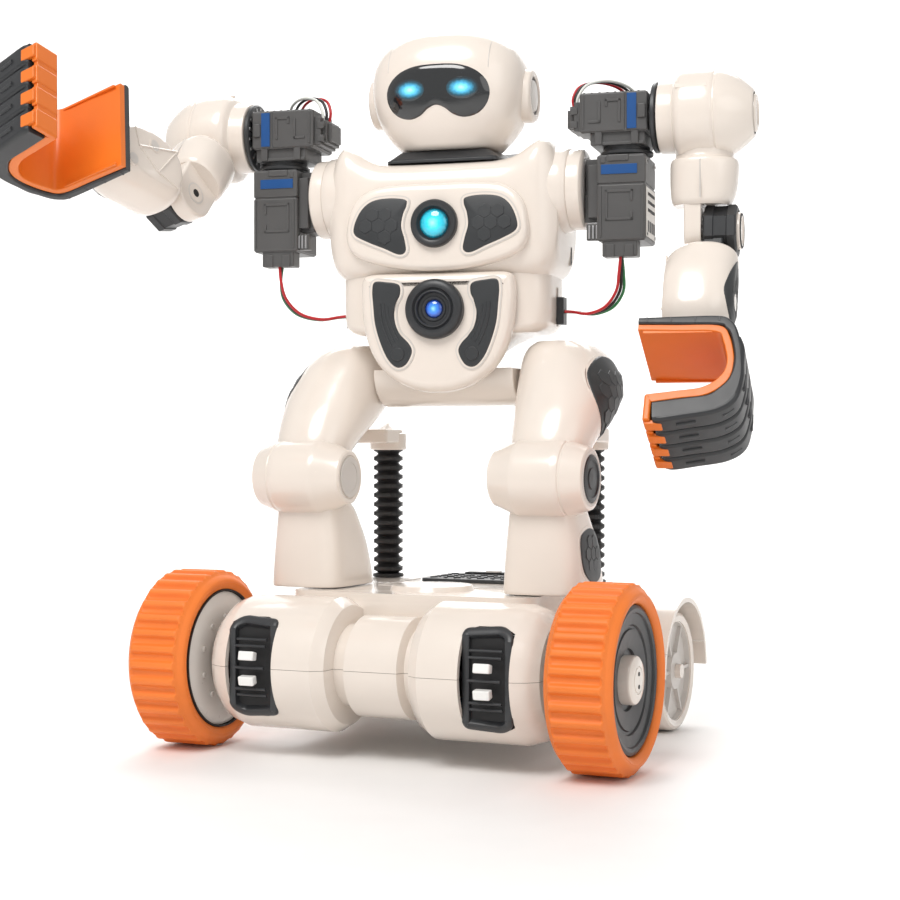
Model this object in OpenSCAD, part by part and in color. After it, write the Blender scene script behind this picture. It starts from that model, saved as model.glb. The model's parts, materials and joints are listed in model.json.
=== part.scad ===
// Humanoid robot toy on a two-wheel-drive base. Millimetres, +Z up, front towards -Y, +X is its left.
// Origin: on the waist axis, at the flat underside of the belly pan. Heights are given above the floor.

/* [Base] */
// Diameter of the driven wheels
wheel_d = 70; // [68:0.5:72]
// Width of each tyre
tyre_w = 26; // [24:0.5:27]
// Distance between the two tyre centres
track = 172.6; // [171:0.2:176]
// Distance from the waist axis forward to the drive axle
axle_front = 57; // [56:0.5:58]
// Distance from the waist axis back to the rear axle
axle_rear = 53; // [52:0.5:55]
// Diameter of the rear rollers
roller_d = 50; // [48:1:52]
// Height of the deck above the floor
deck_z = 62; // [61.5:0.5:63]
// Height of the flat belly pan above the floor
ground_gap = 14; // [13:0.5:16]

/* [Legs] */
// Half the distance between the knees
knee_x = 52; // [51:0.5:53]
// Height of the knee centres above the floor
knee_z = 107; // [106:0.5:108]
// Largest diameter of a knee barrel
knee_d = 31; // [30:0.5:32]

/* [Torso] */
// Turn of the torso to its left at rest, in degrees
torso_turn = 8; // [0:1:8]
// Width of the chest
chest_w = 101; // [100:0.5:102]
// Depth of the chest
chest_d = 48; // [47:0.5:50]
// Width of the waist section
waist_w = 87; // [84:0.5:88]

/* [Head] */
// Width of the head
head_w = 64; // [62:0.5:66]
// Height of the head
head_h = 49; // [48:0.5:50]

/* [Arms] */
// Distance of the vertical shoulder axis from the middle
yaw_x = 73; // [73:0.1:73.5]
// Height of the horizontal shoulder axis
pitch_z = 250; // [250:0.1:250.5]
// Distance from the shoulder axis down to the elbow axis
upper_len = 46; // [45.5:0.1:46.5]
// Right arm at rest: swing forward at the shoulder, in degrees
right_swing = 50; // [46:1:52]
// Right arm at rest: roll of the upper arm outward, in degrees
right_roll = 20; // [18:1:24]
// Right arm at rest: bend of the elbow, in degrees
right_bend = 58; // [54:1:60]
// Left arm at rest: bend of the elbow, in degrees
left_bend = 30; // [24:1:34]

/* [Hidden] */
$fn = 64;
e = 0.01;
skin = 2;              // wall of the moulded shells
run = 0.05;            // radial clearance of a running fit
gap = 0.4;             // clearance between parts that turn past each other
white = [0.93, 0.91, 0.87];
dark = [0.20, 0.21, 0.22];
orange = [0.97, 0.48, 0.13];
blue = [0.10, 0.35, 0.75];

wheel_x = track / 2;
axle_z = wheel_d / 2;
front_y = -axle_front;
rear_y = axle_rear;
split_z = axle_z;
block_r = 26;
barrel_r = 19.5;
roller_x = 74;
roller_z = roller_d / 2;
fender_r = roller_z + 6;
chest_z0 = 186;
chest_z1 = 234;         // top of the chest at the neck
shoulder_z = 243;
waist_z0 = 152;
pelvis_z = 150;
hub_z = 222;
head_z = 239.5;
lamp_z = 208;
camera_z = 174;
servo_y = -2;

// Frames
module on_wheels() translate([0, 0, -ground_gap]) children();
module in_torso() on_wheels() rotate([0, 0, torso_turn]) children();
module both() { children(); mirror([1, 0, 0]) children(); }
module side(s) mirror([s < 0 ? 1 : 0, 0, 0]) children();
module along_x() rotate([0, 90, 0]) children();
module along_y() rotate([90, 0, 0]) children();

// Arm chain: s = 1 is the left arm, s = -1 the right arm
module in_shoulder(s)
  in_torso() side(s)
    translate([0, servo_y, pitch_z]) rotate([s < 0 ? -right_swing : 0, 0, 0]) children();
arm_x = 104;
module in_upper_arm(s)
  in_shoulder(s) translate([arm_x, 0, 0]) rotate([0, 0, s < 0 ? right_roll : 0]) children();
module in_forearm(s)
  in_upper_arm(s) translate([0, 0, -upper_len]) rotate([s < 0 ? -right_bend : -left_bend, 0, 0]) children();

// Shapes
module round_rect(w, d, r) {
  square([w - 2 * r, d], center = true);
  square([w, d - 2 * r], center = true);
  for (x = [-1, 1], y = [-1, 1]) translate([x * (w / 2 - r), y * (d / 2 - r)]) circle(r);
}
module slab(w, d, h, r) linear_extrude(h) round_rect(w, d, r);
module turned(points) rotate_extrude() polygon(points);
module ball(x, y, z, r) translate([x, y, z]) sphere(r, $fn = 28);
module tube(r, r_in, h) difference() { cylinder(h, r = r); translate([0, 0, -e]) cylinder(h + 2 * e, r = r_in); }

// Tube swept along points: rings of n sides, normals kept horizontal-ish by the up vector
function unit(v) = v / norm(v);
function tangent(p, i) = unit(p[min(i + 1, len(p) - 1)] - p[max(i - 1, 0)]);
function ring(p, i, r, n, ref) =
  let (t = tangent(p, i), u = unit(cross(t, ref)), w = cross(t, u))
  [for (k = [0 : n - 1]) p[i] + r * (cos(360 * k / n) * u + sin(360 * k / n) * w)];
function arc_mid(a, b, c, d, t) =
  0.5 * ((2 * b) + (c - a) * t + (2 * a - 5 * b + 4 * c - d) * t * t + (3 * b - a - 3 * c + d) * t * t * t);
function smooth(p, m) = concat(
  [for (i = [0 : len(p) - 2], j = [0 : m - 1])
    arc_mid(p[max(i - 1, 0)], p[i], p[i + 1], p[min(i + 2, len(p) - 1)], j / m)],
  [p[len(p) - 1]]);
module wire(route, r, ref) {
  p = smooth(route, 4);
  n = 8;
  m = len(p);
  points = [for (i = [0 : m - 1]) each ring(p, i, r, n, ref)];
  walls = [for (i = [0 : m - 2], k = [0 : n - 1])
    [i * n + k, i * n + (k + 1) % n, (i + 1) * n + (k + 1) % n, (i + 1) * n + k]];
  ends = [[for (k = [n - 1 : -1 : 0]) k], [for (k = [0 : n - 1]) (m - 1) * n + k]];
  polyhedron(points, concat(walls, ends), convexity = 6);
}

// Base: a turned crossbar over the drive axle, a deck body and a rear crossbar with two fenders
bar_profile = [[0, 0], [0, 68], [20, 68], [24, 64], [block_r, 58], [block_r, 22], [23, 17.5],
  [16, 17], [16, 12.5], [barrel_r, 11], [barrel_r, 0]];
cavity_profile = [[0, -e], [0, 66], [18, 66], [22, 62.5], [block_r - skin, 57], [block_r - skin, 23.5],
  [21.5, 19.5], [14, 19], [14, 11], [barrel_r - skin, 9], [barrel_r - skin, -e]];
module crossbar(points) translate([0, front_y, axle_z]) both() along_x() turned(points);
module deck_body(inset, z0, z1) {
  translate([0, (front_y + rear_y) / 2 + 8, z0])
    slab(104 - 2 * inset, rear_y - front_y - 4 - 2 * inset, z1 - z0, 10 - inset);
}
module rear_bar(inset) translate([0, rear_y, axle_z - 17 + inset])
  slab(124 - 2 * inset, 34 - 2 * inset, deck_z - axle_z + 11 - 2 * inset, 8 - inset);
module fender(inset) translate([roller_x - 10 + inset, rear_y, roller_z])
  along_x() cylinder(20 - 2 * inset, r = fender_r - inset);
module base_solid() {
  crossbar(bar_profile);
  deck_body(0, ground_gap, deck_z);
  rear_bar(0);
  both() fender(0);
}
module base_cavity() {
  crossbar(cavity_profile);
  deck_body(skin, ground_gap + skin, deck_z - skin);
  rear_bar(skin);
  both() translate([roller_x - 8, rear_y, roller_z]) along_x() cylinder(20, r = fender_r - skin);
  both() translate([roller_x - 8, rear_y - 40, -20]) cube([20, 80, 20 + roller_z]);
  both() translate([roller_x - 12, rear_y - 40, -20]) cube([40, 80, 20 + roller_z - 12]);
}
module axle_holes() both() translate([60, front_y, axle_z]) along_x() cylinder(12, r = 6);
module lamp_blank(grow) translate([48.5, front_y - 17.5, axle_z]) intersection() {
  translate([0, -1, 0]) cube([20 + grow, 16 + grow, 38 + grow], center = true);
  along_y() cylinder(30, r = 19.5 + grow, center = true);
}
module lamp_seats() both() lamp_blank(0.1);
module base_upper_shell() on_wheels() color(white) {
  difference() {
    base_solid();
    base_cavity();
    axle_holes();
    lamp_seats();
    translate([-200, -200, split_z - 200]) cube([400, 400, 200 + 0.15]);
  }
  translate([0, -20, deck_z - e]) turned([[0, 0], [17, 0], [16, 2], [0, 2.4]]);
}
module base_lower_shell() on_wheels() color(white) {
  difference() {
    base_solid();
    base_cavity();
    axle_holes();
    lamp_seats();
    translate([-200, -200, split_z]) cube([400, 400, 200]);
  }
  both() translate([roller_x - 10, rear_y, roller_z]) along_x() {
    cylinder(3, r = 6);
    cylinder(18, r = 3);
  }
}
module headlight_bezels() on_wheels() color(dark)
  both() difference() {
    intersection() {
      lamp_blank(0);
      translate([0, front_y - 7.5, axle_z]) along_x() cylinder(80, r = 22);
    }
    translate([48.5, front_y - 9.5, axle_z]) cube([14, 18, 30], center = true);
    for (z = [-4.5, 4.5]) translate([48.5, front_y - 29.5, axle_z + z]) cube([7, 12, 3.2], center = true);
    translate([48.5, front_y - 11.65, axle_z]) cube([30, 8, 60], center = true);
  }
module headlight_lenses() on_wheels() color("white")
  both() for (z = [-4.5, 4.5]) translate([48.5, front_y - 26.4, axle_z + z])
    cube([6.9, 3, 3.1], center = true);
module deck_plate() on_wheels() color(dark) {
  translate([-2, 34, deck_z]) {
    slab(42, 36, 1.6, 4);
    for (i = [-2 : 2], j = [-2 : 2]) translate([i * 7, j * 6, 1.6 - e]) rotate([0, 0, 45])
      cube([4.4, 1.2, 0.7], center = true);
    translate([-13, 12, 1.6 - e]) rotate([10, 0, 0]) cube([26, 12, 1.6]);
  }
}
module battery_pack() on_wheels() color("silver") {
  for (x = [-15.5, 0, 15.5]) translate([x, -28, ground_gap + skin + 8]) along_y() rotate([180, 0, 0])
    cylinder(65, r = 7.2);
  translate([0, 4, ground_gap + skin + 0.2]) slab(48, 68, 1.5, 2);
}
module drive_motors() on_wheels() color("silver")
  both() translate([22, front_y, axle_z]) difference() {
    union() {
      along_x() cylinder(20, r = 10);
      translate([20, -9, -9]) cube([22, 18, 18]);
      translate([42 - e, 0, 0]) along_x() cylinder(2, r = 5.5);
    }
    translate([28, 0, 0]) along_x() cylinder(20, r = 2.5);
  }

// Wheels
module tyre(s) side(s) translate([wheel_x, front_y, axle_z]) along_x() difference() {
  union() {
    turned([[27.5, -tyre_w / 2], [31, -tyre_w / 2], [axle_z - 1, -7.5], [axle_z - 1, 7.5],
      [31, tyre_w / 2], [27.5, tyre_w / 2]]);
    for (k = [0 : 31]) rotate([0, 0, k * 360 / 32]) translate([axle_z - 2.1, -1.8, -8]) cube([2.05, 3.6, 16]);
  }
  translate([0, 0, -e - tyre_w / 2]) cylinder(2.5, r = 29);
}
module wheel(s) side(s) translate([wheel_x, front_y, axle_z]) along_x() difference() {
  union() {
    translate([0, 0, 1 - tyre_w / 2]) cylinder(tyre_w - 5, r = 27.4);
    translate([0, 0, -wheel_x + 52]) cylinder(wheel_x - 52, r = 2.5 - run);
    translate([0, 0, -tyre_w / 2 - 0.5]) cylinder(4, r = 7);
  }
  difference() {
    translate([0, 0, 4]) cylinder(20, r1 = 15, r2 = 30);
    cylinder(40, r = 11);
  }
  translate([0, 0, 6]) cylinder(20, r = 9);
}
module hub_cap(s) side(s) translate([wheel_x + 6, front_y, axle_z]) along_x() difference() {
  turned([[0, 0], [9, 0], [9, 4.4], [7.5, 5.4], [0, 5.8]]);
  for (a = [90, 270]) rotate([0, 0, a]) translate([5.4, 0, 3.8]) cylinder(4, r = 1.1, $fn = 24);
  translate([-3, -1, 4.4]) cube([6, 2, 4]);
}
module roller(s) side(s) translate([roller_x - 6.4, rear_y, roller_z]) along_x() difference() {
  turned([[3 + run, 0], [roller_z - 1.5, 0], [roller_z, 1.5], [roller_z, 11.5], [roller_z - 1.5, 13],
    [3 + run, 13]]);
  translate([0, 0, 9]) tube(roller_z - 4, 7, 8);
}
module left_tyre() on_wheels() color(orange) tyre(1);
module right_tyre() on_wheels() color(orange) tyre(-1);
module left_wheel() on_wheels() color(dark) wheel(1);
module right_wheel() on_wheels() color(dark) wheel(-1);
module left_hub_cap() on_wheels() color(white) hub_cap(1);
module right_hub_cap() on_wheels() color(white) hub_cap(-1);
module left_roller() on_wheels() color(white) roller(1);
module right_roller() on_wheels() color(white) roller(-1);

// Legs
knee_y = -30;
module shins() on_wheels() color(white) both() difference() {
  hull() {
    translate([51, -17, deck_z]) slab(32, 40, 2, 4);
    translate([51, -23, knee_z - 16]) slab(27, 26, 4, 4);
  }
  translate([knee_x, knee_y, knee_z]) along_x() cylinder(60, r = knee_d / 2 + 0.02, center = true);
  translate([66, -17, deck_z + 15]) cube([4, 24, 24], center = true);
}
module knees() on_wheels() color(white) both() translate([knee_x, knee_y, knee_z]) along_x()
  difference() {
    turned([[0, -20], [11, -20], [knee_d / 2, -9], [knee_d / 2, 9], [12, 19], [0, 19]]);
    translate([0, 0, 17]) cylinder(4, r = 9.5);
  }
module thighs() on_wheels() color(white) both() difference() {
  union() {
    hull() {
      ball(51, -22, 122, 12);
      ball(56, 4, 134, 17);
      ball(44, 4, 147, 15);
      ball(48, 20, 134, 13);
    }
    translate([47, 36, 120]) cylinder(6, r = 8);
    translate([40, 22, 122]) cube([16, 16, 4]);
  }
  translate([knee_x, knee_y, knee_z]) along_x() cylinder(60, r = knee_d / 2 + 0.02, center = true);
  translate([-29, -40, 100]) cube([60, 90, 80]);
  translate([71.2, 2, 136]) cube([5, 26, 32], center = true);
}
module leg_inlays() on_wheels() color(dark) both() {
  translate([68.7, 2, 136]) along_x() linear_extrude(4.5) round_rect(31.6, 25.6, 9);
  translate([64, -17, deck_z + 15]) along_x() linear_extrude(3.6) round_rect(23.6, 23.6, 8);
}
module hose_bead(z) translate([0, 0, z]) turned([[0, 0], [5, 0], [6.2, 1.2], [6.2, 2.8], [5, 4], [0, 4]]);
module leg_hoses() on_wheels() color("#1c1d1f") both() translate([47, 36, deck_z])
  for (i = [0 : 13]) hose_bead(i * 4.13);
module pelvis() on_wheels() color(white) {
  difference() {
    translate([0, 3, pelvis_z]) along_x() cylinder(61.96, r = 14, center = true);
    translate([-40, -30, pelvis_z + 1]) cube([80, 60, 30]);
  }
  translate([0, 0, pelvis_z - 6]) cylinder(16, r = 8 - run);
}

// Torso
module torso_outer() {
  translate([0, 2, chest_z0]) slab(chest_w, chest_d, chest_z1 - chest_z0 - 8, 12);
  hull() {
    translate([0, 2, chest_z1 - 9]) slab(chest_w, chest_d, 1, 12, $fn = 32);
    translate([0, 2, chest_z1 - 1]) slab(chest_w - 14, chest_d - 12, 1, 12, $fn = 32);
  }
  both() translate([chest_w / 2 - 13.1, 21, shoulder_z - 13]) along_y() cylinder(38, r = 13);
  translate([0, 2, waist_z0 + 14]) slab(waist_w, 42, chest_z0 - waist_z0 - 14 + 1, 12);
  translate([0, 0, waist_z0]) cylinder(15, r = 19);
}
module torso_inner() {
  translate([0, 2, chest_z0 + skin]) slab(chest_w - 2 * skin, chest_d - 2 * skin, 36, 10);
  translate([0, 2, waist_z0 + 14 + skin]) slab(waist_w - 2 * skin, 42 - 2 * skin, 24, 10);
  translate([0, 0, waist_z0 - e]) cylinder(20, r = 8);
  translate([0, 0, waist_z0 + skin]) cylinder(20, r = 17);
}
module neck_bore() translate([0, 0, chest_z1 - 20]) cylinder(30, r = 7);
module front_half() translate([-100, -100 - 0.1, 100]) cube([200, 100, 200]);
module rear_half() translate([-100, 0, 100]) cube([200, 100, 200]);
module torso_front_shell() in_torso() color(white) intersection() {
  difference() {
    torso_outer();
    torso_inner();
    neck_bore();
    translate([0, -20, lamp_z]) along_y() cylinder(20, r = 7, center = true);
    translate([0, -20, camera_z]) along_y() cylinder(20, r = 9, center = true);
  }
  front_half();
}
module torso_rear_shell() in_torso() color(white) intersection() {
  difference() {
    torso_outer();
    torso_inner();
    neck_bore();
    translate([chest_w / 2 - 3, 9, 193]) cube([6, 3.4, 9]);
    translate([-6, 18, 200]) cube([12, 12, 6]);
  }
  rear_half();
}
brow_y = -22.1;
module brow_outline() intersection() {
  translate([0, 7]) round_rect(74, 40, 11);
  translate([0, 60]) circle(78, $fn = 128);
}
module brow_panel() in_torso() color(white) difference() {
  translate([0, brow_y, lamp_z]) along_y() linear_extrude(4.4) brow_outline();
  translate([0, brow_y, lamp_z]) along_y() cylinder(20, r = 7, center = true);
  both() translate([23, brow_y - 3.4, lamp_z]) cube([23, 3, 24], center = true);
}
module belly_outline() {
  intersection() {
    translate([0, -10.6]) round_rect(64, 44.9, 6);
    translate([0, 6]) circle(39.5, $fn = 128);
  }
}
module belly_plate() in_torso() color(white) difference() {
  translate([0, -19.1, camera_z]) along_y() linear_extrude(6) belly_outline();
  translate([0, -20, camera_z]) along_y() cylinder(20, r = 9, center = true);
  both() translate([20.5, -24.8, camera_z - 5]) cube([13, 3, 32], center = true);
}
module front_inlays() in_torso() color(dark) both() {
  translate([23, -25.4, lamp_z]) cube([22.8, 2.8, 23.8], center = true);
  translate([20.5, -24.7, camera_z - 5]) cube([12.8, 2.8, 31.8], center = true);
}
module bezel(r, r_in, h) turned([[r_in, 0], [r, 0], [r, h - 1.5], [r - 1.5, h], [r_in + 1, h], [r_in, h - 1]]);
module lamp_bezel() in_torso() color(dark) translate([0, -26.55, lamp_z]) along_y() bezel(9.5, 6, 3.2);
module lamp_lens() in_torso() color([0.1, 0.7, 0.85]) translate([0, -22, lamp_z]) along_y() {
  cylinder(6, r = 5.95);
  translate([0, 0, 6 - e]) turned([[0, 0], [5.95, 0], [5, 1], [3, 1.9], [0, 2.3]]);
}
module camera_bezel() in_torso() color(dark) translate([0, -25.15, camera_z]) along_y() bezel(12, 6, 4.4);
module camera_lens() in_torso() color(blue) translate([0, -20, camera_z]) along_y() {
  cylinder(6.5, r = 5.95);
  translate([0, 0, 6.5 - e]) turned([[0, 0], [5.95, 0], [5, 0.8], [3, 1.6], [0, 2]]);
}
module main_board() in_torso() color("seagreen") {
  translate([-32, 8, 192]) cube([80, 1.6, 31]);
  translate([40, 9.5, 193.2]) cube([9, 3, 8.6]);
  translate([-6, 9.5, 196]) cube([12, 8, 14]);
}
module wire_sockets() in_torso() color(dark) both()
  translate([waist_w / 2 + 0.02, 1, 169]) cube([3, 6, 11]);
module shoulder_hubs() in_torso() color(white) both()
  translate([chest_w / 2 + 0.02, servo_y, hub_z]) along_x()
    turned([[0, 0], [16, 0], [16, 5.4], [14.8, 6.6], [0, 6.6]]);
module neck_collar() in_torso() color(dark) translate([0, -1, chest_z1 + 0.02]) difference() {
  hull() {
    slab(46, 34, 1, 7, $fn = 32);
    translate([0, 0, 4]) slab(40, 28, 1, 6, $fn = 32);
  }
  translate([0, 1, -1]) cylinder(20, r = 6 + run);
}
module power_switch() in_torso() color(dark) translate([-2, 18.4, 201]) cube([4, 9.4, 4]);

// Servos
module lower_servo(s) in_torso() side(s) {
  color(dark) {
    translate([63, -14, 200]) cube([20, 24, 34.6]);
    translate([57.2, -9, 208]) cube([6, 14, 26]);
    translate([65, -13, 194]) cube([14, 8, 6.2]);
  }
  color(blue) translate([64.5, -14.4, 226.5]) cube([15, 1, 4]);
}
module upper_servo(s) in_torso() side(s) {
  color(dark) {
    difference() {
      translate([56, -14, 243.2]) cube([27.4, 24, 16]);
      translate([76, servo_y, pitch_z]) along_x() cylinder(20, r = 4);
    }
    translate([60, -12, 238.2]) cube([22, 20, 5.2]);
    translate([yaw_x, servo_y, 235]) cylinder(3.3, r = 10.6);
    translate([50, -10, 245]) cube([6.2, 16, 10]);
  }
  color(blue) translate([75, -14.4, 244]) cube([4, 1, 14]);
}
module pitch_horn(s) in_shoulder(s) color(dark) {
  translate([84, 0, 0]) along_x() cylinder(2.2, r = 14);
  translate([77, 0, 0]) along_x() cylinder(8, r = 4 - run);
}

// Leads: three wires in each bundle, from housing to housing
lead_r = 0.65;
low_route = [[72, -9, 193.9], [72, -9, 188], [71, -7, 181], [66, -4, 175], [58, 0, 172.8], [51, 4, 173.9],
  [46.65, 4, 174.2]];
top_route = [[53, -6, 255.1], [53, -6, 259], [56, -4, 264], [63, 0, 266], [70, 6, 264.5], [74, 12, 260],
  [75, 14.5, 254], [74.7, 13.4, 251]];
top_end = [74.6, 10.4, 249.8];
module low_leads() for (k = [-1 : 1])
  wire([for (q = low_route) q + [0, k * 1.6, 0]], lead_r, [0, 1, 0.1]);
module top_leads() for (k = [-1 : 1])
  wire(concat([for (q = top_route) q + [k * 0.8, -k * 1.4, 0]], [top_end + [k * 1.6, 0, 0]]), lead_r,
    [0.5, -0.87, 0.1]);
module torso_leads() in_torso() color("firebrick") both() low_leads();
module servo_leads(s) in_torso() side(s) color("firebrick") top_leads();

// Arms
module shoulder_shell(s) in_shoulder(s) color(white) difference() {
  translate([86.3, 0, 0]) along_x() turned([[0, 0], [14.5, 0], [14.6, 6], [18, 7], [18.5, 20], [17, 27],
    [9, 37], [8.6, 38.5], [0, 38.5]]);
  translate([arm_x, 0, -30]) cylinder(42, r = 12);
}
module upper_arm(s) in_upper_arm(s) color(white) difference() {
  union() {
    translate([0, 0, -36]) cylinder(47, r = 12 - gap);
    translate([-7, -9, -upper_len]) cube([7, 18, 15]);
    translate([-7, 0, -upper_len]) along_x() cylinder(7, r = 10);
  }
  translate([0, 0, -upper_len]) along_x() difference() {
    cylinder(20, r = 11.2);
    translate([0, 0, -e]) cylinder(1, r = 1);
  }
  translate([-20, 0, -upper_len]) along_x() cylinder(60, r = 3);
}
wrist_z = -52;
module forearm(s) in_forearm(s) {
  color(dark) translate([gap, 0, 0]) along_x() cylinder(13, r = 10.5);
  color(white) {
    translate([gap - 12, 0, 0]) along_x() cylinder(13, r = 3 - run);
    translate([13.3, 0, 0]) along_x() cylinder(1.6, r = 7.5);
    difference() {
      hull() {
        ball(4, -1, -20, 11.5);
        ball(-3, 0, -22, 13);
        ball(1, -1, -44, 10);
      }
      translate([-30, -30, -12.4]) cube([60, 60, 20]);
      translate([-30, -30, wrist_z - 40]) cube([60, 60, 40.4]);
      translate([10, -12, -38]) cube([8, 22, 22]);
      translate([1, 0, wrist_z]) cylinder(8, r = 3.5);
    }
    translate([gap, -6, -13]) cube([8, 12, 8]);
  }
}
module forearm_inlay(s) in_forearm(s) color(dark) translate([10.2, -1, -27]) along_x()
  linear_extrude(4) round_rect(21.5, 21.5, 7);

// Hand: a U-shaped scoop, open towards the body, with a liner; its stub turns in the wrist
module in_hand(s) in_forearm(s) translate([1, 0, wrist_z]) children();
shell_outline = [[-20, -1], [-18, 0], [10, 0], [15, -2], [18, -7], [20.5, -18], [21, -28], [18.5, -37],
  [12, -42], [-9, -46], [-11.5, -45], [-12, -37.5], [8, -34.5], [15, -29], [17, -20], [15, -9],
  [11, -4.5], [-20, -3.5]];
liner_outline = [[-20, -3.5], [11, -4.5], [15, -9], [17, -20], [15, -29], [8, -34.5], [-12, -37.5],
  [-11.5, -45], [-13.5, -45.5], [-15, -43], [-15, -34], [6, -31], [12, -26.5], [14.2, -20],
  [12.4, -11], [9.5, -7], [-20, -6]];
module extruded_hand(outline, w) translate([0, w / 2, 0]) along_y() linear_extrude(w) polygon(outline);
module hand_shell(s) in_hand(s) color(dark) {
  extruded_hand(shell_outline, 38);
  translate([0, 0, -e]) cylinder(7, r = 3.5 - run);
}
module hand_liner(s) in_hand(s) color(orange) extruded_hand(liner_outline, 36);

module left_lower_servo() lower_servo(1);
module left_upper_servo() upper_servo(1);
module left_pitch_horn() pitch_horn(1);
module left_servo_leads() servo_leads(1);
module left_shoulder_shell() shoulder_shell(1);
module left_upper_arm() upper_arm(1);
module left_forearm() forearm(1);
module left_forearm_inlay() forearm_inlay(1);
module left_hand_shell() hand_shell(1);
module left_hand_liner() hand_liner(1);
module right_lower_servo() lower_servo(-1);
module right_upper_servo() upper_servo(-1);
module right_pitch_horn() pitch_horn(-1);
module right_servo_leads() servo_leads(-1);
module right_shoulder_shell() shoulder_shell(-1);
module right_upper_arm() upper_arm(-1);
module right_forearm() forearm(-1);
module right_forearm_inlay() forearm_inlay(-1);
module right_hand_shell() hand_shell(-1);
module right_hand_liner() hand_liner(-1);

// Head
module head_body(inset) hull() {
  for (x = [-1, 1], y = [-1, 1]) {
    ball(x * (head_w / 2 - 17), y * 8, head_z + 29, 17 - inset);
    ball(x * (head_w / 2 - 22), y * 7, head_z + 14, 14 - inset);
  }
}
module head_shell() in_torso() color(white) {
  difference() {
    union() {
      head_body(0);
      translate([0, 0, head_z + 31]) slab(28, 30, head_h - 31, 8);
      translate([0, 3, head_z + 24]) along_x() cylinder(head_w + 4, r = 10.5, center = true);
    }
    head_body(2);
    both() translate([head_w / 2 - 1, 3, head_z + 24]) along_x() cylinder(8, r = 7.5);
    translate([0, -24, head_z + 23]) cube([46, 12, 21], center = true);
  }
  difference() {
    translate([0, 0, chest_z1 - 7]) cylinder(head_z - chest_z1 + 10, r = 6);
    translate([0, 0, chest_z1 - 20]) cylinder(60, r = 3);
  }
}
module visor() in_torso() color("black") intersection() {
  difference() {
    head_body(-0.6);
    head_body(1.6);
  }
  translate([0, -24, head_z + 23]) cube([45.6, 11.6, 20.6], center = true);
}
module eye_lamps() in_torso() color([0.3, 0.75, 0.95]) both() translate([10.5, -19, head_z + 24])
  cube([11, 3, 7], center = true);
module ear_caps() in_torso() color("gainsboro") both() translate([head_w / 2 - 0.9, 3, head_z + 24])
  along_x() cylinder(2.6, r = 6.4);

base_upper_shell();
base_lower_shell();
headlight_bezels();
headlight_lenses();
deck_plate();
battery_pack();
drive_motors();
shins();
knees();
thighs();
leg_inlays();
leg_hoses();
pelvis();
left_tyre();
left_wheel();
left_hub_cap();
right_tyre();
right_wheel();
right_hub_cap();
left_roller();
right_roller();
torso_front_shell();
torso_rear_shell();
brow_panel();
belly_plate();
front_inlays();
lamp_bezel();
lamp_lens();
camera_bezel();
camera_lens();
main_board();
wire_sockets();
shoulder_hubs();
neck_collar();
power_switch();
torso_leads();
head_shell();
visor();
eye_lamps();
ear_caps();
left_lower_servo();
left_upper_servo();
left_pitch_horn();
left_servo_leads();
left_shoulder_shell();
left_upper_arm();
left_forearm();
left_forearm_inlay();
left_hand_shell();
left_hand_liner();
right_lower_servo();
right_upper_servo();
right_pitch_horn();
right_servo_leads();
right_shoulder_shell();
right_upper_arm();
right_forearm();
right_forearm_inlay();
right_hand_shell();
right_hand_liner();
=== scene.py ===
"""Looks of the humanoid robot toy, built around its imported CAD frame.

Shapes are in millimetres, with z above the floor; frames turn them into metres."""

import json
import math

import bmesh
import bpy
import numpy as np
from mathutils import Matrix, Vector

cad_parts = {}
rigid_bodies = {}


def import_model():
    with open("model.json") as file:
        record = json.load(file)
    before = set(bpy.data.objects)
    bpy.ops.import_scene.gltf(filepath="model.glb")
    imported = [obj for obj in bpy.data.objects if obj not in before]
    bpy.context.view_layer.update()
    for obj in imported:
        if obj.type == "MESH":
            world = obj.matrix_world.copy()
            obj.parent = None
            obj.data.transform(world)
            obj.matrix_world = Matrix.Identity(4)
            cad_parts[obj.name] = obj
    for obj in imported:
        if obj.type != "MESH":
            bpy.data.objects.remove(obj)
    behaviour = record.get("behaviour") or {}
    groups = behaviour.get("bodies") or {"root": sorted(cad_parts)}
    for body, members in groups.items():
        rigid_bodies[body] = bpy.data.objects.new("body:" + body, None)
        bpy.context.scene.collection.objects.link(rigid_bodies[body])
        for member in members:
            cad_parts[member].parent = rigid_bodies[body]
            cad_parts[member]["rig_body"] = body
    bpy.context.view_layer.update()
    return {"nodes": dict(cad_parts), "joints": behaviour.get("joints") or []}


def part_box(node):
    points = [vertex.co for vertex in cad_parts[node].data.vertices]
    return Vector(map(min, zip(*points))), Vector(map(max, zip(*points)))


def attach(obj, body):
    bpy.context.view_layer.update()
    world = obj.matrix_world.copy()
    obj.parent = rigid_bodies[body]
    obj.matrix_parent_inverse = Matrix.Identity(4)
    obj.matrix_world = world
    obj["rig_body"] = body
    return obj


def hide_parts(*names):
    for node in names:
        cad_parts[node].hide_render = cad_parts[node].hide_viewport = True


MM = 0.001
EDGE_ANGLE = 33          # an edge of a CAD shape that turns by more degrees is rounded
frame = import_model()
JOINTS = {j["name"]: j for j in frame["joints"]}
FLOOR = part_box("left_tyre")[0].z
SIDES = ((1, "left"), (-1, "right"))


# ---------- frames ----------
def basis(origin, x, y, z):
    """Matrix from millimetres along x, y and z to metres in the row frame."""
    m = Matrix.Identity(4)
    for i, axis in enumerate((x, y, z)):
        for k in range(3):
            m[k][i] = axis[k] * MM
    for k in range(3):
        m[k][3] = origin[k]
    return m


WORLD = basis((0, 0, FLOOR), (1, 0, 0), (0, 1, 0), (0, 0, 1))
TORSO_X = -Vector(JOINTS["left_shoulder_swing"]["axis"])
TORSO = basis((0, 0, FLOOR), TORSO_X, (-TORSO_X.y, TORSO_X.x, 0), (0, 0, 1))


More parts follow.
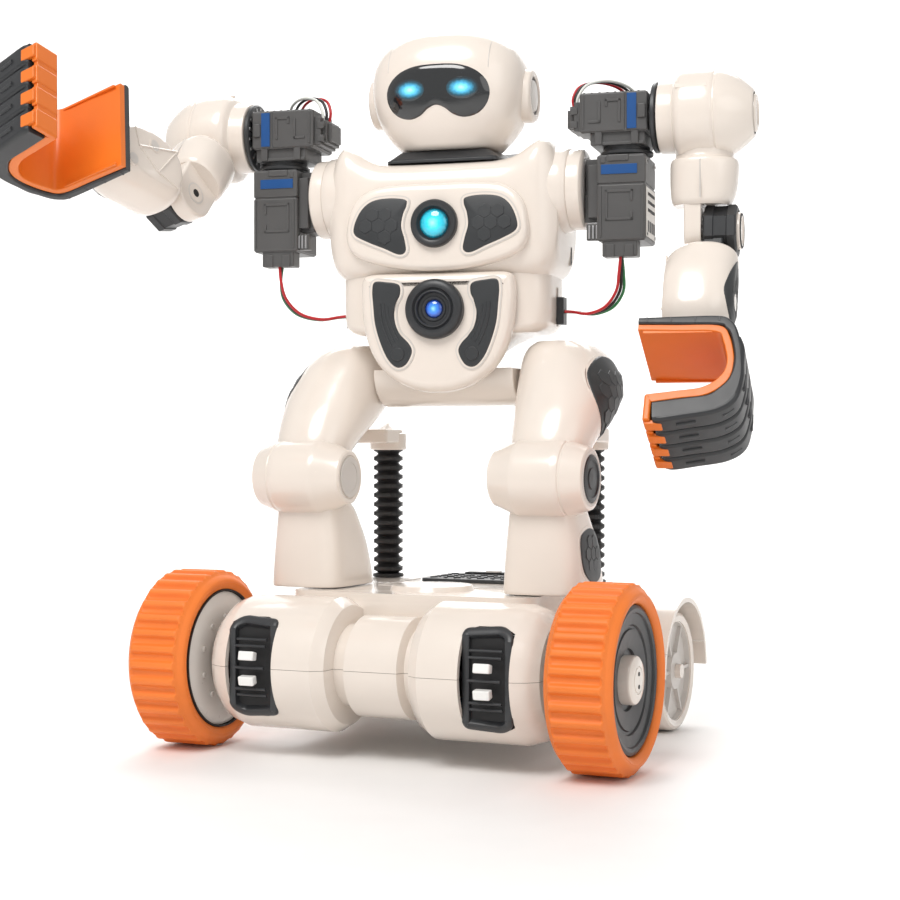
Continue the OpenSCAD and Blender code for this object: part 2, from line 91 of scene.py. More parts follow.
def mirror(s):
    """Nothing on the left side (1), a mirror image in x on the right (-1)."""
    return Matrix.Diagonal((s, 1, 1, 1))


def torso_side(s):
    """Torso frame with x outward on the left (1) or right (-1) side."""
    return TORSO @ mirror(s)


def world_side(s):
    return WORLD @ mirror(s)


def limb(s, origin_joint, x_joint, z_joint):
    """Frame at a joint: x outward along the bending axis, z up along the limb."""
    side = "left" if s > 0 else "right"
    x = -Vector(JOINTS[f"{side}_{x_joint}"]["axis"]) * s
    z = Vector(JOINTS[f"{side}_{z_joint}"]["axis"])
    y = z.cross(x) * s
    return basis(JOINTS[f"{side}_{origin_joint}"]["pos_m"], x, y, z)


# ---------- outlines and profiles ----------
def arc(cx, cy, r, a0, a1, n=12):
    """Points along an arc, angles in degrees."""
    steps = [math.radians(a0 + (a1 - a0) * i / n) for i in range(n + 1)]
    return [(cx + r * math.cos(a), cy + r * math.sin(a)) for a in steps]


def rect(w, h, r, cx=0, cy=0, n=6):
    """Rectangle with rounded corners, anticlockwise."""
    x, y = w / 2 - r, h / 2 - r
    points = []
    for sx, sy, a in ((1, 1, 0), (-1, 1, 90), (-1, -1, 180), (1, -1, 270)):
        points += arc(cx + sx * x, cy + sy * y, r, a, a + 90, n)
    return points


def rounded(points, r, n=5):
    """Closed polygon with each corner rounded over r, less where a side is short."""
    made = []
    count = len(points)
    for i, p in enumerate(points):
        p = Vector(p)
        a = Vector(points[i - 1]) - p
        b = Vector(points[(i + 1) % count]) - p
        a = p + a.normalized() * min(r, a.length * 0.48)
        b = p + b.normalized() * min(r, b.length * 0.48)
        for k in range(n + 1):
            t = k / n
            made.append(tuple(a * (1 - t) ** 2 + p * 2 * t * (1 - t) + b * t * t))
    return made


def spline(points, n=6, closed=True):
    """Catmull-Rom curve through the points."""
    p = np.array(points, float)
    count = len(p)
    made = []
    for i in range(count if closed else count - 1):
        if closed:
            a, b, c, d = p[i - 1], p[i], p[(i + 1) % count], p[(i + 2) % count]
        else:
            a, b, c, d = p[max(i - 1, 0)], p[i], p[i + 1], p[min(i + 2, count - 1)]
        for k in range(n):
            t = k / n
            made.append(0.5 * (2 * b + (c - a) * t + (2 * a - 5 * b + 4 * c - d) * t**2
                               + (3 * b - a - 3 * c + d) * t**3))
    if not closed:
        made.append(p[-1])
    return [tuple(q) for q in made]


def mirrored(points):
    """A half outline from top to bottom on +x, closed by its mirror image."""
    other = [(-x, y) for x, y in reversed(points) if abs(x) > 1e-6]
    return list(points) + other


def inset(outline, d):
    """Outline moved inward by d along its normals."""
    p = np.array(outline, float)
    edge = np.roll(p, -1, 0) - p
    area = np.sum(p[:, 0] * np.roll(p[:, 1], -1) - np.roll(p[:, 0], -1) * p[:, 1])
    normal = np.stack([-edge[:, 1], edge[:, 0]], 1) * (1 if area > 0 else -1)
    normal /= np.maximum(np.linalg.norm(normal, axis=1, keepdims=True), 1e-9)
    both = normal + np.roll(normal, 1, 0)
    both /= np.maximum(np.sum(both * both, 1, keepdims=True) / 2, 0.4)
    return p + both * d


# ---------- solids: each is (points, faces) ----------
def rings_solid(rings, closed=False):
    """Closed skin over equal rings of points, capped at both ends or joined end to end."""
    n = len(rings[0])
    points = [tuple(q) for ring in rings for q in ring]
    m = len(rings)
    faces = []
    for i in range(m if closed else m - 1):
        j = (i + 1) % m
        for k in range(n):
            l = (k + 1) % n
            faces.append((i * n + k, i * n + l, j * n + l, j * n + k))
    if not closed:
        faces.append(tuple(range(n - 1, -1, -1)))
        faces.append(tuple((m - 1) * n + k for k in range(n)))
    return points, faces


def edge_profile(h, low, high, n=4):
    """(inset, height) steps of a plate of thickness h with rounded lower and upper edges."""
    steps = [(0, 0)] if low == 0 else []
    if low:
        steps += [(low - low * math.sin(a), low - low * math.cos(a))
                  for a in np.linspace(0, math.pi / 2, n + 1)]
    if high:
        steps += [(high - high * math.cos(a), h - high + high * math.sin(a))
                  for a in np.linspace(0, math.pi / 2, n + 1)]
    else:
        steps += [(0, h)]
    return steps


def plate(outline, h, low=0.0, high=0.0, z=0.0):
    """Flat plate over an outline, from z to z + h, with rounded edges."""
    rings = [[(x, y, z + up) for x, y in inset(outline, d)] for d, up in edge_profile(h, low, high)]
    return rings_solid(rings)


def block(x0, x1, y0, y1, z0, z1, r=1.0):
    """Box with rounded edges between two corners."""
    outline = rect(x1 - x0, y1 - y0, r, (x0 + x1) / 2, (y0 + y1) / 2, 4)
    return plate(outline, z1 - z0, r * 0.6, r * 0.6, z0)


def pad(outline, h, crown, edge, rings=8, z=0.0):
    """Cushion-like plate: a rounded rim and a top that rises by crown towards its centre."""
    base = [[(x, y, z) for x, y in outline]]
    for d, up in edge_profile(h, 0, edge):
        base.append([(x, y, z + up) for x, y in inset(outline, d)])
    rim = inset(outline, edge)
    centre = rim.mean(0)
    for k in range(1, rings + 1):
        t = 1 - k / rings * 0.96
        base.append([(*(centre + (q - centre) * t), z + h + crown * (1 - t * t)) for q in rim])
    return rings_solid(base)


def lathe(profile, n=72, wave=None):
    """Solid of revolution about z from (radius, z) points; a profile that leaves the axis is a ring.
    wave(angle, radius, z) may change the radius."""
    on_axis = profile[0][0] < 1e-6
    points = [(max(r, 0.02), z) for r, z in profile] if on_axis else list(profile)
    rings = []
    for r, z in points:
        ring = []
        for k in range(n):
            a = 2 * math.pi * k / n
            rr = wave(a, r, z) if wave else r
            ring.append((rr * math.cos(a), rr * math.sin(a), z))
        rings.append(ring)
    return rings_solid(rings, closed=not on_axis)


def rod(r, z0, z1, n=32):
    """Round bar or disc about z."""
    return lathe([(0, z0), (r, z0), (r, z1), (0, z1)], n)


def loft_rings(sections, n=64, sub=5):
    """Superellipse rings through sections (z, cx, cy, half x, half y, power)."""
    made = []
    for z, cx, cy, a, b, p in spline(sections, sub, closed=False):
        ring = []
        for k in range(n):
            t = 2 * math.pi * k / n
            c, s = (math.copysign(abs(u) ** (2 / p), u) for u in (math.cos(t), math.sin(t)))
            ring.append((cx + a * c, cy + b * s, z))
        made.append(ring)
    return made


def loft(sections, n=64, sub=5):
    return rings_solid(loft_rings(sections, n, sub))


def onto_skin(sections, reach, limit):
    """Function that lays (y, z, up) on the outer side of a lofted limb, no further out than limit."""
    rows = np.array(sections)

    def onto(y, z, up):
        cx, cy, a, b, p = (np.interp(z, rows[:, 0], rows[:, i]) for i in range(1, 6))
        surface = cx + a * max(1 - min(abs(y - cy) / b, reach) ** p, 0) ** (1 / p)
        return min(surface - 0.15 + up, limit), y, z
    return onto


def tube(path, r, n=10, sub=6):
    """Round bar along a smooth path."""
    p = np.array(spline(path, sub, closed=False))
    rings = []
    side = None
    for i in range(len(p)):
        t = p[min(i + 1, len(p) - 1)] - p[max(i - 1, 0)]
        t = t / np.linalg.norm(t)
        if side is None:
            side = np.cross(t, (0, 0, 1) if abs(t[2]) < 0.9 else (0, 1, 0))
        side = side - t * (side @ t)
        side = side / np.linalg.norm(side)
        up = np.cross(t, side)
        angles = [2 * math.pi * k / n for k in range(n)]
        rings.append([tuple(p[i] + r * (math.cos(a) * side + math.sin(a) * up)) for a in angles])
    return rings_solid(rings)


# ---------- moving solids ----------
ALONG_X = Matrix(((0, 0, 1, 0), (1, 0, 0, 0), (0, 1, 0, 0), (0, 0, 0, 1)))       # z to x, x to y, y to z
FACE_FRONT = Matrix(((1, 0, 0, 0), (0, 0, -1, 0), (0, 1, 0, 0), (0, 0, 0, 1)))   # y to z, z to -y
FACE_BACK = Matrix(((-1, 0, 0, 0), (0, 0, 1, 0), (0, 1, 0, 0), (0, 0, 0, 1)))    # x to -x, y to z, z to y


def at(x, y, z):
    return Matrix.Translation((x, y, z))


def outward(s, x, y, z):
    """Lathe axis pointing away from the robot's middle, at x on side s."""
    return at(s * x, y, z) @ mirror(s) @ ALONG_X


def turn(degrees, axis):
    return Matrix.Rotation(math.radians(degrees), 4, axis)


def moved(solid, matrix):
    return [tuple(matrix @ Vector(p)) for p in solid[0]], solid[1]


def bent(solid, change):
    """Solid with each point passed through change(x, y, z)."""
    return [change(*p) for p in solid[0]], solid[1]


def turned(profile, n, place, material):
    """Lathed (solid, material) part, put in its place."""
    return moved(lathe(profile, n), place), material


def flip(solid):
    return moved(solid, mirror(-1))


# ---------- pieces ----------
def add_object(name, data):
    made = bpy.data.objects.new(name, data)
    bpy.context.scene.collection.objects.link(made)
    return made


def smooth(mesh, degrees):
    mesh.shade_smooth()
    mesh.set_sharp_from_angle(angle=math.radians(degrees))


def piece(name, parts, place, body, nodes=(), sharp=35.0, weighted=True):
    """One named object from (solid, material) parts. It rides on body and stands for nodes."""
    points, faces, slots, materials = [], [], [], []
    for (p, f), material in parts:
        start = len(points)
        points += [place @ Vector(q) for q in p]
        faces += [tuple(start + i for i in face) for face in f]
        if material not in materials:
            materials.append(material)
        slots += [materials.index(material)] * len(f)
    mesh = bpy.data.meshes.new(name)
    mesh.from_pydata(points, [], faces)
    mesh.polygons.foreach_set("material_index", slots)
    for material in materials:
        mesh.materials.append(material)
    bm = bmesh.new()
    bm.from_mesh(mesh)
    bmesh.ops.recalc_face_normals(bm, faces=bm.faces)
    bm.to_mesh(mesh)
    bm.free()
    smooth(mesh, sharp)
    made = add_object(name, mesh)
    if weighted:
        made.modifiers.new("flat faces stay flat", "WEIGHTED_NORMAL").keep_sharp = True
    if nodes:
        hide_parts(*nodes)
    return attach(made, body)


def moulded(node, material, bevel=0.5, extra=(), place=WORLD):
    """The CAD node's own shape with softly rounded edges, in a piece that stands for it."""
    source = frame["nodes"][node]
    bm = bmesh.new()
    bm.from_mesh(source.data)
    bmesh.ops.remove_doubles(bm, verts=bm.verts, dist=2e-6)
    bmesh.ops.dissolve_limit(bm, angle_limit=math.radians(1), verts=bm.verts, edges=bm.edges)
    bmesh.ops.recalc_face_normals(bm, faces=bm.faces)
    mesh = bpy.data.meshes.new(node + "_moulded")
    bm.to_mesh(mesh)
    bm.free()
    mesh.materials.clear()
    mesh.materials.append(material)
    mesh.polygons.foreach_set("material_index", [0] * len(mesh.polygons))
    smooth(mesh, EDGE_ANGLE)
    made = add_object(node + "_moulded", mesh)
    soft = made.modifiers.new("soft edges", "BEVEL")
    soft.width = bevel * MM
    soft.segments = 3
    soft.limit_method = "ANGLE"
    soft.angle_limit = math.radians(EDGE_ANGLE)
    soft.use_clamp_overlap = True
    soft.harden_normals = True
    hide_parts(node)
    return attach(made, source["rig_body"])


# ---------- materials ----------
def link(tree, a, out, b, into):
    tree.links.new(a.outputs[out], b.inputs[into])


def grain(tree, scale, detail=2.0):
    """Noise over the piece's own place, in features per metre."""
    where = tree.nodes.new("ShaderNodeTexCoord")
    noise = tree.nodes.new("ShaderNodeTexNoise")
    noise.inputs["Scale"].default_value = scale
    noise.inputs["Detail"].default_value = detail
    link(tree, where, "Object", noise, "Vector")
    return noise


def new_material(name):
    made = bpy.data.materials.new(name)
    made.use_nodes = True
    return made, made.node_tree, made.node_tree.nodes["Principled BSDF"]


def finish_of(name, colour, rough, vary=0.06, spread=0.06, fine=1800, bump=0.02, coat=0.0, metal=0.0,
              edge_highlight=0.0):
    """Moulded material: broad colour drift, a fine surface texture, uneven gloss and a painted highlight that
    makes sharp edges paler.
    """
    made, tree, shader = new_material(name)
    broad = grain(tree, 45, 3)
    ramp = tree.nodes.new("ShaderNodeValToRGB")
    ramp.color_ramp.elements[0].position = 0.3
    ramp.color_ramp.elements[1].position = 0.7
    ramp.color_ramp.elements[0].color = (*[c * (1 - vary) for c in colour], 1)
    ramp.color_ramp.elements[1].color = (*[min(1, c * (1 + vary * 0.5)) for c in colour], 1)
    link(tree, broad, "Fac", ramp, "Fac")
    colour_out = ramp.outputs["Color"]
    # painted highlight: where the mesh is pointy, at sharp edges, the colour turns paler
    if edge_highlight:
        geometry = tree.nodes.new("ShaderNodeNewGeometry")
        edge = tree.nodes.new("ShaderNodeMapRange")
        edge.inputs["From Min"].default_value = 0.52
        edge.inputs["From Max"].default_value = 0.56
        edge.inputs["To Max"].default_value = edge_highlight
        link(tree, geometry, "Pointiness", edge, "Value")
        mix = tree.nodes.new("ShaderNodeMix")
        mix.data_type = "RGBA"
        mix.inputs["B"].default_value = (*[min(1, c * 1.6 + 0.08) for c in colour], 1)
        link(tree, edge, "Result", mix, "Factor")
        tree.links.new(colour_out, mix.inputs["A"])
        colour_out = mix.outputs["Result"]
    tree.links.new(colour_out, shader.inputs["Base Color"])
    speck = grain(tree, fine, 3)
    gloss = tree.nodes.new("ShaderNodeMapRange")
    gloss.inputs["To Min"].default_value = max(0.02, rough - spread)
    gloss.inputs["To Max"].default_value = min(1, rough + spread)
    link(tree, grain(tree, 260, 4), "Fac", gloss, "Value")
    link(tree, gloss, "Result", shader, "Roughness")
    texture = tree.nodes.new("ShaderNodeBump")
    texture.inputs["Strength"].default_value = 0.35
    texture.inputs["Distance"].default_value = bump * MM
    link(tree, speck, "Fac", texture, "Height")
    link(tree, texture, "Normal", shader, "Normal")
    shader.inputs["Metallic"].default_value = metal
    if coat:
        shader.inputs["Coat Weight"].default_value = coat
        shader.inputs["Coat Roughness"].default_value = 0.08
    return made


def glowing(name, stops, strength, rough=0.08):
    """Glowing lens, a lit lamp or a painted glow on the camera lens: colour runs from the middle (0) to the
    rim (1) by the mesh's own glow attribute.
    """
    made, tree, shader = new_material(name)
    place = tree.nodes.new("ShaderNodeAttribute")
    place.attribute_name = "glow"
    cells = grain(tree, 900, 1)
    shift = tree.nodes.new("ShaderNodeMath")
    shift.operation = "MULTIPLY_ADD"
    shift.inputs[1].default_value = 0.16
    link(tree, cells, "Fac", shift, 0)
    link(tree, place, "Fac", shift, 2)
    ramp = tree.nodes.new("ShaderNodeValToRGB")
    elements = ramp.color_ramp.elements
    elements[0].position, elements[0].color = stops[0][0], (*stops[0][1], 1)
    elements[1].position, elements[1].color = stops[-1][0], (*stops[-1][1], 1)
    for position, colour in stops[1:-1]:
        elements.new(position).color = (*colour, 1)
    link(tree, shift, "Value", ramp, "Fac")
    link(tree, ramp, "Color", shader, "Base Color")
    link(tree, ramp, "Color", shader, "Emission Color")
    shader.inputs["Emission Strength"].default_value = strength
    shader.inputs["Roughness"].default_value = rough
    shader.inputs["Coat Weight"].default_value = 1.0
    shader.inputs["Coat Roughness"].default_value = 0.03
    return made


CREAM = finish_of("cream gloss plastic", (0.80, 0.725, 0.655), 0.24, vary=0.02, coat=0.5, bump=0.008)
# SHADE: the real colour of some pale grey parts, and painted shade on inlay rims, seams and recess bottoms
SHADE = finish_of("pale grey plastic and painted shade", (0.62, 0.585, 0.55), 0.35, vary=0.03)
# the dark plastics carry a painted highlight on their sharp edges
DARK = finish_of("dark grey plastic", (0.024, 0.026, 0.029), 0.36, vary=0.12, edge_highlight=0.10)
INLAY = finish_of("inlay plastic", (0.030, 0.033, 0.036), 0.42, vary=0.15, edge_highlight=0.18)
SERVO = finish_of("servo case plastic", (0.078, 0.077, 0.077), 0.40, vary=0.10, edge_highlight=0.12)
GROOVE = finish_of("groove shadow", (0.012, 0.012, 0.013), 0.6, vary=0.10)
BLUE = finish_of("blue band", (0.008, 0.075, 0.26), 0.34, vary=0.08)
TYRE = finish_of("orange tyre rubber", (0.86, 0.205, 0.026), 0.50, vary=0.07, fine=1300, bump=0.05)
ORANGE = finish_of("orange plastic", (0.80, 0.185, 0.018), 0.34, vary=0.05, bump=0.012)
GLOSS = finish_of("black visor gloss", (0.012, 0.014, 0.016), 0.08, vary=0.10, spread=0.02, coat=1.0,
                  bump=0.003)
HOSE = finish_of("hose rubber", (0.016, 0.016, 0.017), 0.42, vary=0.15, bump=0.05)
PALE = finish_of("cap plastic", (0.72, 0.69, 0.655), 0.30, vary=0.03)
LAMP = finish_of("lamp white", (0.88, 0.88, 0.86), 0.20, vary=0.03)
BOARD = finish_of("circuit board", (0.02, 0.16, 0.06), 0.45, vary=0.25)
WRAP = finish_of("battery wrap", (0.05, 0.16, 0.30), 0.35, vary=0.12)
MOTOR = finish_of("motor case", (0.55, 0.55, 0.56), 0.30, vary=0.06, metal=1.0)
WIRES = {
    "red": finish_of("red wire", (0.50, 0.012, 0.018), 0.35, vary=0.08),
    "black": finish_of("black wire", (0.012, 0.012, 0.012), 0.35, vary=0.08),
    "white": finish_of("white wire", (0.72, 0.74, 0.70), 0.35, vary=0.05),
    "green": finish_of("green wire", (0.03, 0.22, 0.07), 0.35, vary=0.05),
}
EYE = glowing("eye glow", [(0.0, (0.42, 0.80, 0.92)), (0.30, (0.13, 0.52, 0.78)), (0.58, (0.03, 0.22, 0.36)),
                           (0.80, (0.010, 0.05, 0.075)), (0.98, (0.006, 0.012, 0.016))], 1.1)
CYAN = glowing("cyan lens", [(0.0, (0.35, 0.86, 0.96)), (0.45, (0.02, 0.52, 0.68)),
                             (0.85, (0.01, 0.30, 0.40)), (1.0, (0.004, 0.06, 0.09))], 0.75)
# the camera lens is no lamp: its emission, bright in the middle and dark at the rim, is a painted glow
AZURE = glowing("blue camera lens painted glow", [(0.0, (0.28, 0.62, 1.0)), (0.4, (0.03, 0.20, 0.75)), (0.8, (0.008, 0.05, 0.28)),
                              (1.0, (0.002, 0.006, 0.03))], 0.8)


def add_glow(made, centres, rx, rz):
    """Writes glow, 0 in the middle and 1 at the rim, on the points of a glowing piece: a lit lamp, or the
    camera lens whose glow is painted.
    """
    back = TORSO.inverted()
    values = []
    for v in made.data.vertices:
        q = back @ v.co
        nearest = min(math.hypot((q.x - cx) / rx, (q.z - cz) / rz) for cx, cz in centres)
        values.append(min(1.0, nearest))
    glow = made.data.attributes.new("glow", "FLOAT", "POINT")
    glow.data.foreach_set("value", values)


# ---------- camera, floor and lights ----------
AZIMUTH = 24.0           # degrees round from straight ahead, towards the robot's left
DISTANCE = 0.7291        # from the waist axis to the lens
EYE_HEIGHT = 0.104
LENS = 70.8
AIM_OFFSET = -0.00107    # the view axis passes this far beside the waist axis


def camera():
    """Level camera at the photograph's angle."""
    a = math.radians(AZIMUTH)
    forward = Vector((-math.sin(a), math.cos(a), 0))
    right = Vector((math.cos(a), math.sin(a), 0))
    data = bpy.data.cameras.new("camera")
    data.lens = LENS
    data.sensor_width = 36
    data.clip_start, data.clip_end = 0.05, 20
    made = add_object("camera", data)
    made.location = right * AIM_OFFSET - forward * DISTANCE + Vector((0, 0, EYE_HEIGHT))
    made.rotation_euler = (math.radians(90), 0, a)
    bpy.context.scene.camera = made


def floor_and_backdrop():
    """Pale sweep that curves up far behind the robot."""
    depth, width, rise = 3.0, 5.0, 2.6
    points, faces = [], []
    curve = [(-2.5, 0.0), (depth * 0.5, 0.0)]
    curve += [(depth * 0.5 + math.sin(t), 1 - math.cos(t)) for t in np.linspace(0.1, math.pi / 2, 12)]
    curve.append((depth * 0.5 + 1, rise))
    for y, z in curve:
        points += [(-width, y, FLOOR + z - 0.0002), (width, y, FLOOR + z - 0.0002)]
    for i in range(len(curve) - 1):
        faces.append((2 * i, 2 * i + 1, 2 * i + 3, 2 * i + 2))
    mesh = bpy.data.meshes.new("floor")
    mesh.from_pydata(points, [], faces)
    mesh.shade_smooth()
    mesh.materials.append(finish_of("floor white", (0.90, 0.895, 0.89), 0.55, vary=0.01, fine=60, bump=0.0))
    made = add_object("floor", mesh)
    made.rotation_euler = (0, 0, math.radians(AZIMUTH))


def light(name, azimuth, elevation, distance, size, watts, colour=(1, 1, 1), target=(0, 0, 0.13)):
    """Soft area light that points at its target, at first the robot's middle."""
    a, e = math.radians(azimuth), math.radians(elevation)
    away = Vector((math.sin(a) * math.cos(e), -math.cos(a) * math.cos(e), math.sin(e)))
    data = bpy.data.lights.new(name, "AREA")
    data.shape, data.size, data.energy, data.color = "DISK", size, watts, colour
    made = add_object(name, data)
    made.location = away * distance + Vector(target)
    made.rotation_mode = "QUATERNION"
    made.rotation_quaternion = (-away).to_track_quat("-Z", "Y")


def studio():
    """Bright surroundings, a key light, a weaker fill, a rim light and one for the backdrop."""
    scene = bpy.context.scene
    scene.view_settings.view_transform = "Standard"
    scene.view_settings.look = "None"
    scene.world = bpy.data.worlds.new("studio")
    scene.world.use_nodes = True
    sky = scene.world.node_tree.nodes["Background"]
    sky.inputs["Color"].default_value = (1.0, 0.985, 0.97, 1)
    sky.inputs["Strength"].default_value = 0.56
    light("key", AZIMUTH - 28, 50, 1.5, 0.8, 14, (1, 0.985, 0.965))
    light("fill", AZIMUTH + 38, 20, 1.7, 1.1, 3, (1, 0.98, 0.96))
    light("rim", AZIMUTH + 170, 48, 1.6, 1.0, 6)
    a, away = math.radians(AZIMUTH), 2.5
    light("backdrop", AZIMUTH, 58, 1.6, 2.2, 34, target=(-away * math.sin(a), away * math.cos(a), 0.45))


camera()
floor_and_backdrop()
studio()


# ---------- head ----------
HEAD = [(239.8, 0, 0, 18, 14, 2.5), (240.6, 0, 0, 20.5, 16.5, 2.5), (242.8, 0, 0, 23, 18.5, 2.5),
        (247, 0, 0, 26.5, 21.2, 2.6), (253, 0, 0, 29.8, 23.6, 2.7), (260, 0, 0, 31.6, 24.8, 2.8),
        (267, 0, 0, 32, 25, 2.8), (274, 0, 0, 31, 24.4, 2.7), (280, 0, 0, 27.8, 22.2, 2.6),
        (284.4, 0, 0, 22.5, 18.6, 2.5), (287, 0, 0, 15.5, 13, 2.4), (288.2, 0, 0, 7, 6, 2.2)]
HEAD_TABLE = np.array(spline(HEAD, 8, closed=False))
EAR_Y, EAR_Z = 3, 262.5
EYE_X, EYE_Z = 10.7, 261.8
SEAM_X, VISOR_Z = 20.8, 262


def face_y(x, z):
    """Front surface of the head at a point."""
    a, b, p = (np.interp(z, HEAD_TABLE[:, 0], HEAD_TABLE[:, k]) for k in (3, 4, 5))
    return -b * max(0.0, 1 - min(1.0, abs(x / a)) ** p) ** (1 / p)


def face_patch(outline, centre, lift, edge_drop, rings=14, back=1.4, power=10):
    """Closed patch that follows the face: proud by lift, falling by edge_drop at its rim."""
    outline = np.array(outline)
    centre = np.array(centre)
    front, rear = [], []
    for k in range(rings + 1):
        t = 1 - 0.97 * (k / rings)
        ring = centre + (outline - centre) * t
        front.append([(x, face_y(x, z) - lift + edge_drop * t**power, z) for x, z in ring])
        rear.append([(x, face_y(x, z) - lift + edge_drop + back, z) for x, z in ring])
    return rings_solid(rear[::-1] + front)


def head():
    shell = [(loft(HEAD, 96, 6), CREAM)]
    shell.append((moved(lathe([(0, -4), (9.6, -4), (8.6, 0), (0, 0)], 48), at(0, 0, 239.9)), DARK))
    ear = [(0, 0), (10.9, 0), (10.9, 3.6), (10.3, 4.6), (9.4, 5), (8.2, 5), (7.7, 4.5), (7.6, 2.6), (0, 2.6)]
    ring = [(6.6, 0), (7.6, 0), (7.6, 4.2), (6.6, 4.2)]
    for s in (1, -1):
        place = outward(s, 29.3, EAR_Y, EAR_Z)
        shell.append(turned(ear, 72, place, CREAM))
        shell.append(turned(ring, 72, place, DARK))
        seam = [(s * SEAM_X, face_y(SEAM_X, z) + 0.05, z) for z in np.linspace(283, 270, 5)]
        shell.append((tube(seam, 0.22, 6, 3), SHADE))
    piece("head_shell_moulded", shell, TORSO, "head", ["head_shell"], 40, weighted=False)
    cap = [(0, 0), (6.5, 0), (6.5, 2.0), (6.0, 2.6), (4.4, 2.9), (0, 3.0)]
    caps = []
    for s in (1, -1):
        place = outward(s, 31.4, EAR_Y, EAR_Z)
        caps.append(turned(cap, 64, place, PALE))
    piece("ear_caps_moulded", caps, TORSO, "head", ["ear_caps"])

    half = [(0, 272.2), (9, 271.7), (16, 269.4), (20.6, 265.4), (22.2, 260.6), (20.8, 255.4), (17, 251.6),
            (11.8, 250.2), (7.2, 251.4), (3.4, 254.2), (0, 255.4)]
    outline = spline(mirrored(half), 8)
    rim = spline(mirrored([(x * 1.035, VISOR_Z + (z - VISOR_Z) * 1.05) for x, z in half]), 8)
    visor = [(face_patch(outline, (0, VISOR_Z), 0.75, 1.0), GLOSS),
             (face_patch(rim, (0, VISOR_Z), 0.16, 0.45, back=1.0), SHADE)]
    piece("visor_gloss", visor, TORSO, "head", ["visor"], 50, weighted=False)
    turns = np.linspace(0, 2 * math.pi, 48)[:-1]
    oval = [(EYE_X + 7.0 * math.cos(t), EYE_Z + 4.9 * math.sin(t)) for t in turns]
    eye = face_patch(oval, (EYE_X, EYE_Z), 0.86, 0.25, rings=16, power=6)
    eyes = piece("eye_lamps_lit", [(eye, EYE), (flip(eye), EYE)], TORSO, "head", ["eye_lamps"],
                 60, weighted=False)
    add_glow(eyes, [(EYE_X, EYE_Z), (-EYE_X, EYE_Z)], 7.3, 4.3)


# ---------- torso ----------
CHEST_FRONT, BELLY_FRONT = -22.0, -25.1
BROW_Z, LAMP_Z, CAMERA_Z, HUB_Z = 208, 208, 174, 222.5
HUB_Y = -2
SLOT = (10.7, 197.5)     # y and z of the charging slot on the left side


def chest_solid(y0, y1):
    """Chest as a loft from side to side, with raised shoulders, between two depths."""
    half = [(0, 234.6, 185.2), (16, 234.7, 185.2), (26, 235.2, 185.3), (32, 237.4, 185.6), (37, 240.8, 186),
            (41.5, 242.6, 187), (44.8, 239.8, 189.2), (46.8, 234.2, 193), (47.6, 227, 199)]
    stations = [(-x, t, b) for x, t, b in reversed(half[1:])] + half
    rings = []
    for x, top, bottom in spline(stations, 4, closed=False):
        depth = 1 - max(0.0, (abs(x) - 38) / 9.6) ** 2 * 0.24
        h, mid, cy, d = (top - bottom) / 2, (top + bottom) / 2, (y0 + y1) / 2, (y1 - y0) / 2 * depth
        ring = []
        for k in range(72):
            t = 2 * math.pi * (k + 0.5) / 72
            c, s = (math.copysign(abs(u) ** 0.40, u) for u in (math.cos(t), math.sin(t)))
            ring.append((x, cy + d * c, mid + h * s))
        rings.append(ring)
    return rings_solid(rings)


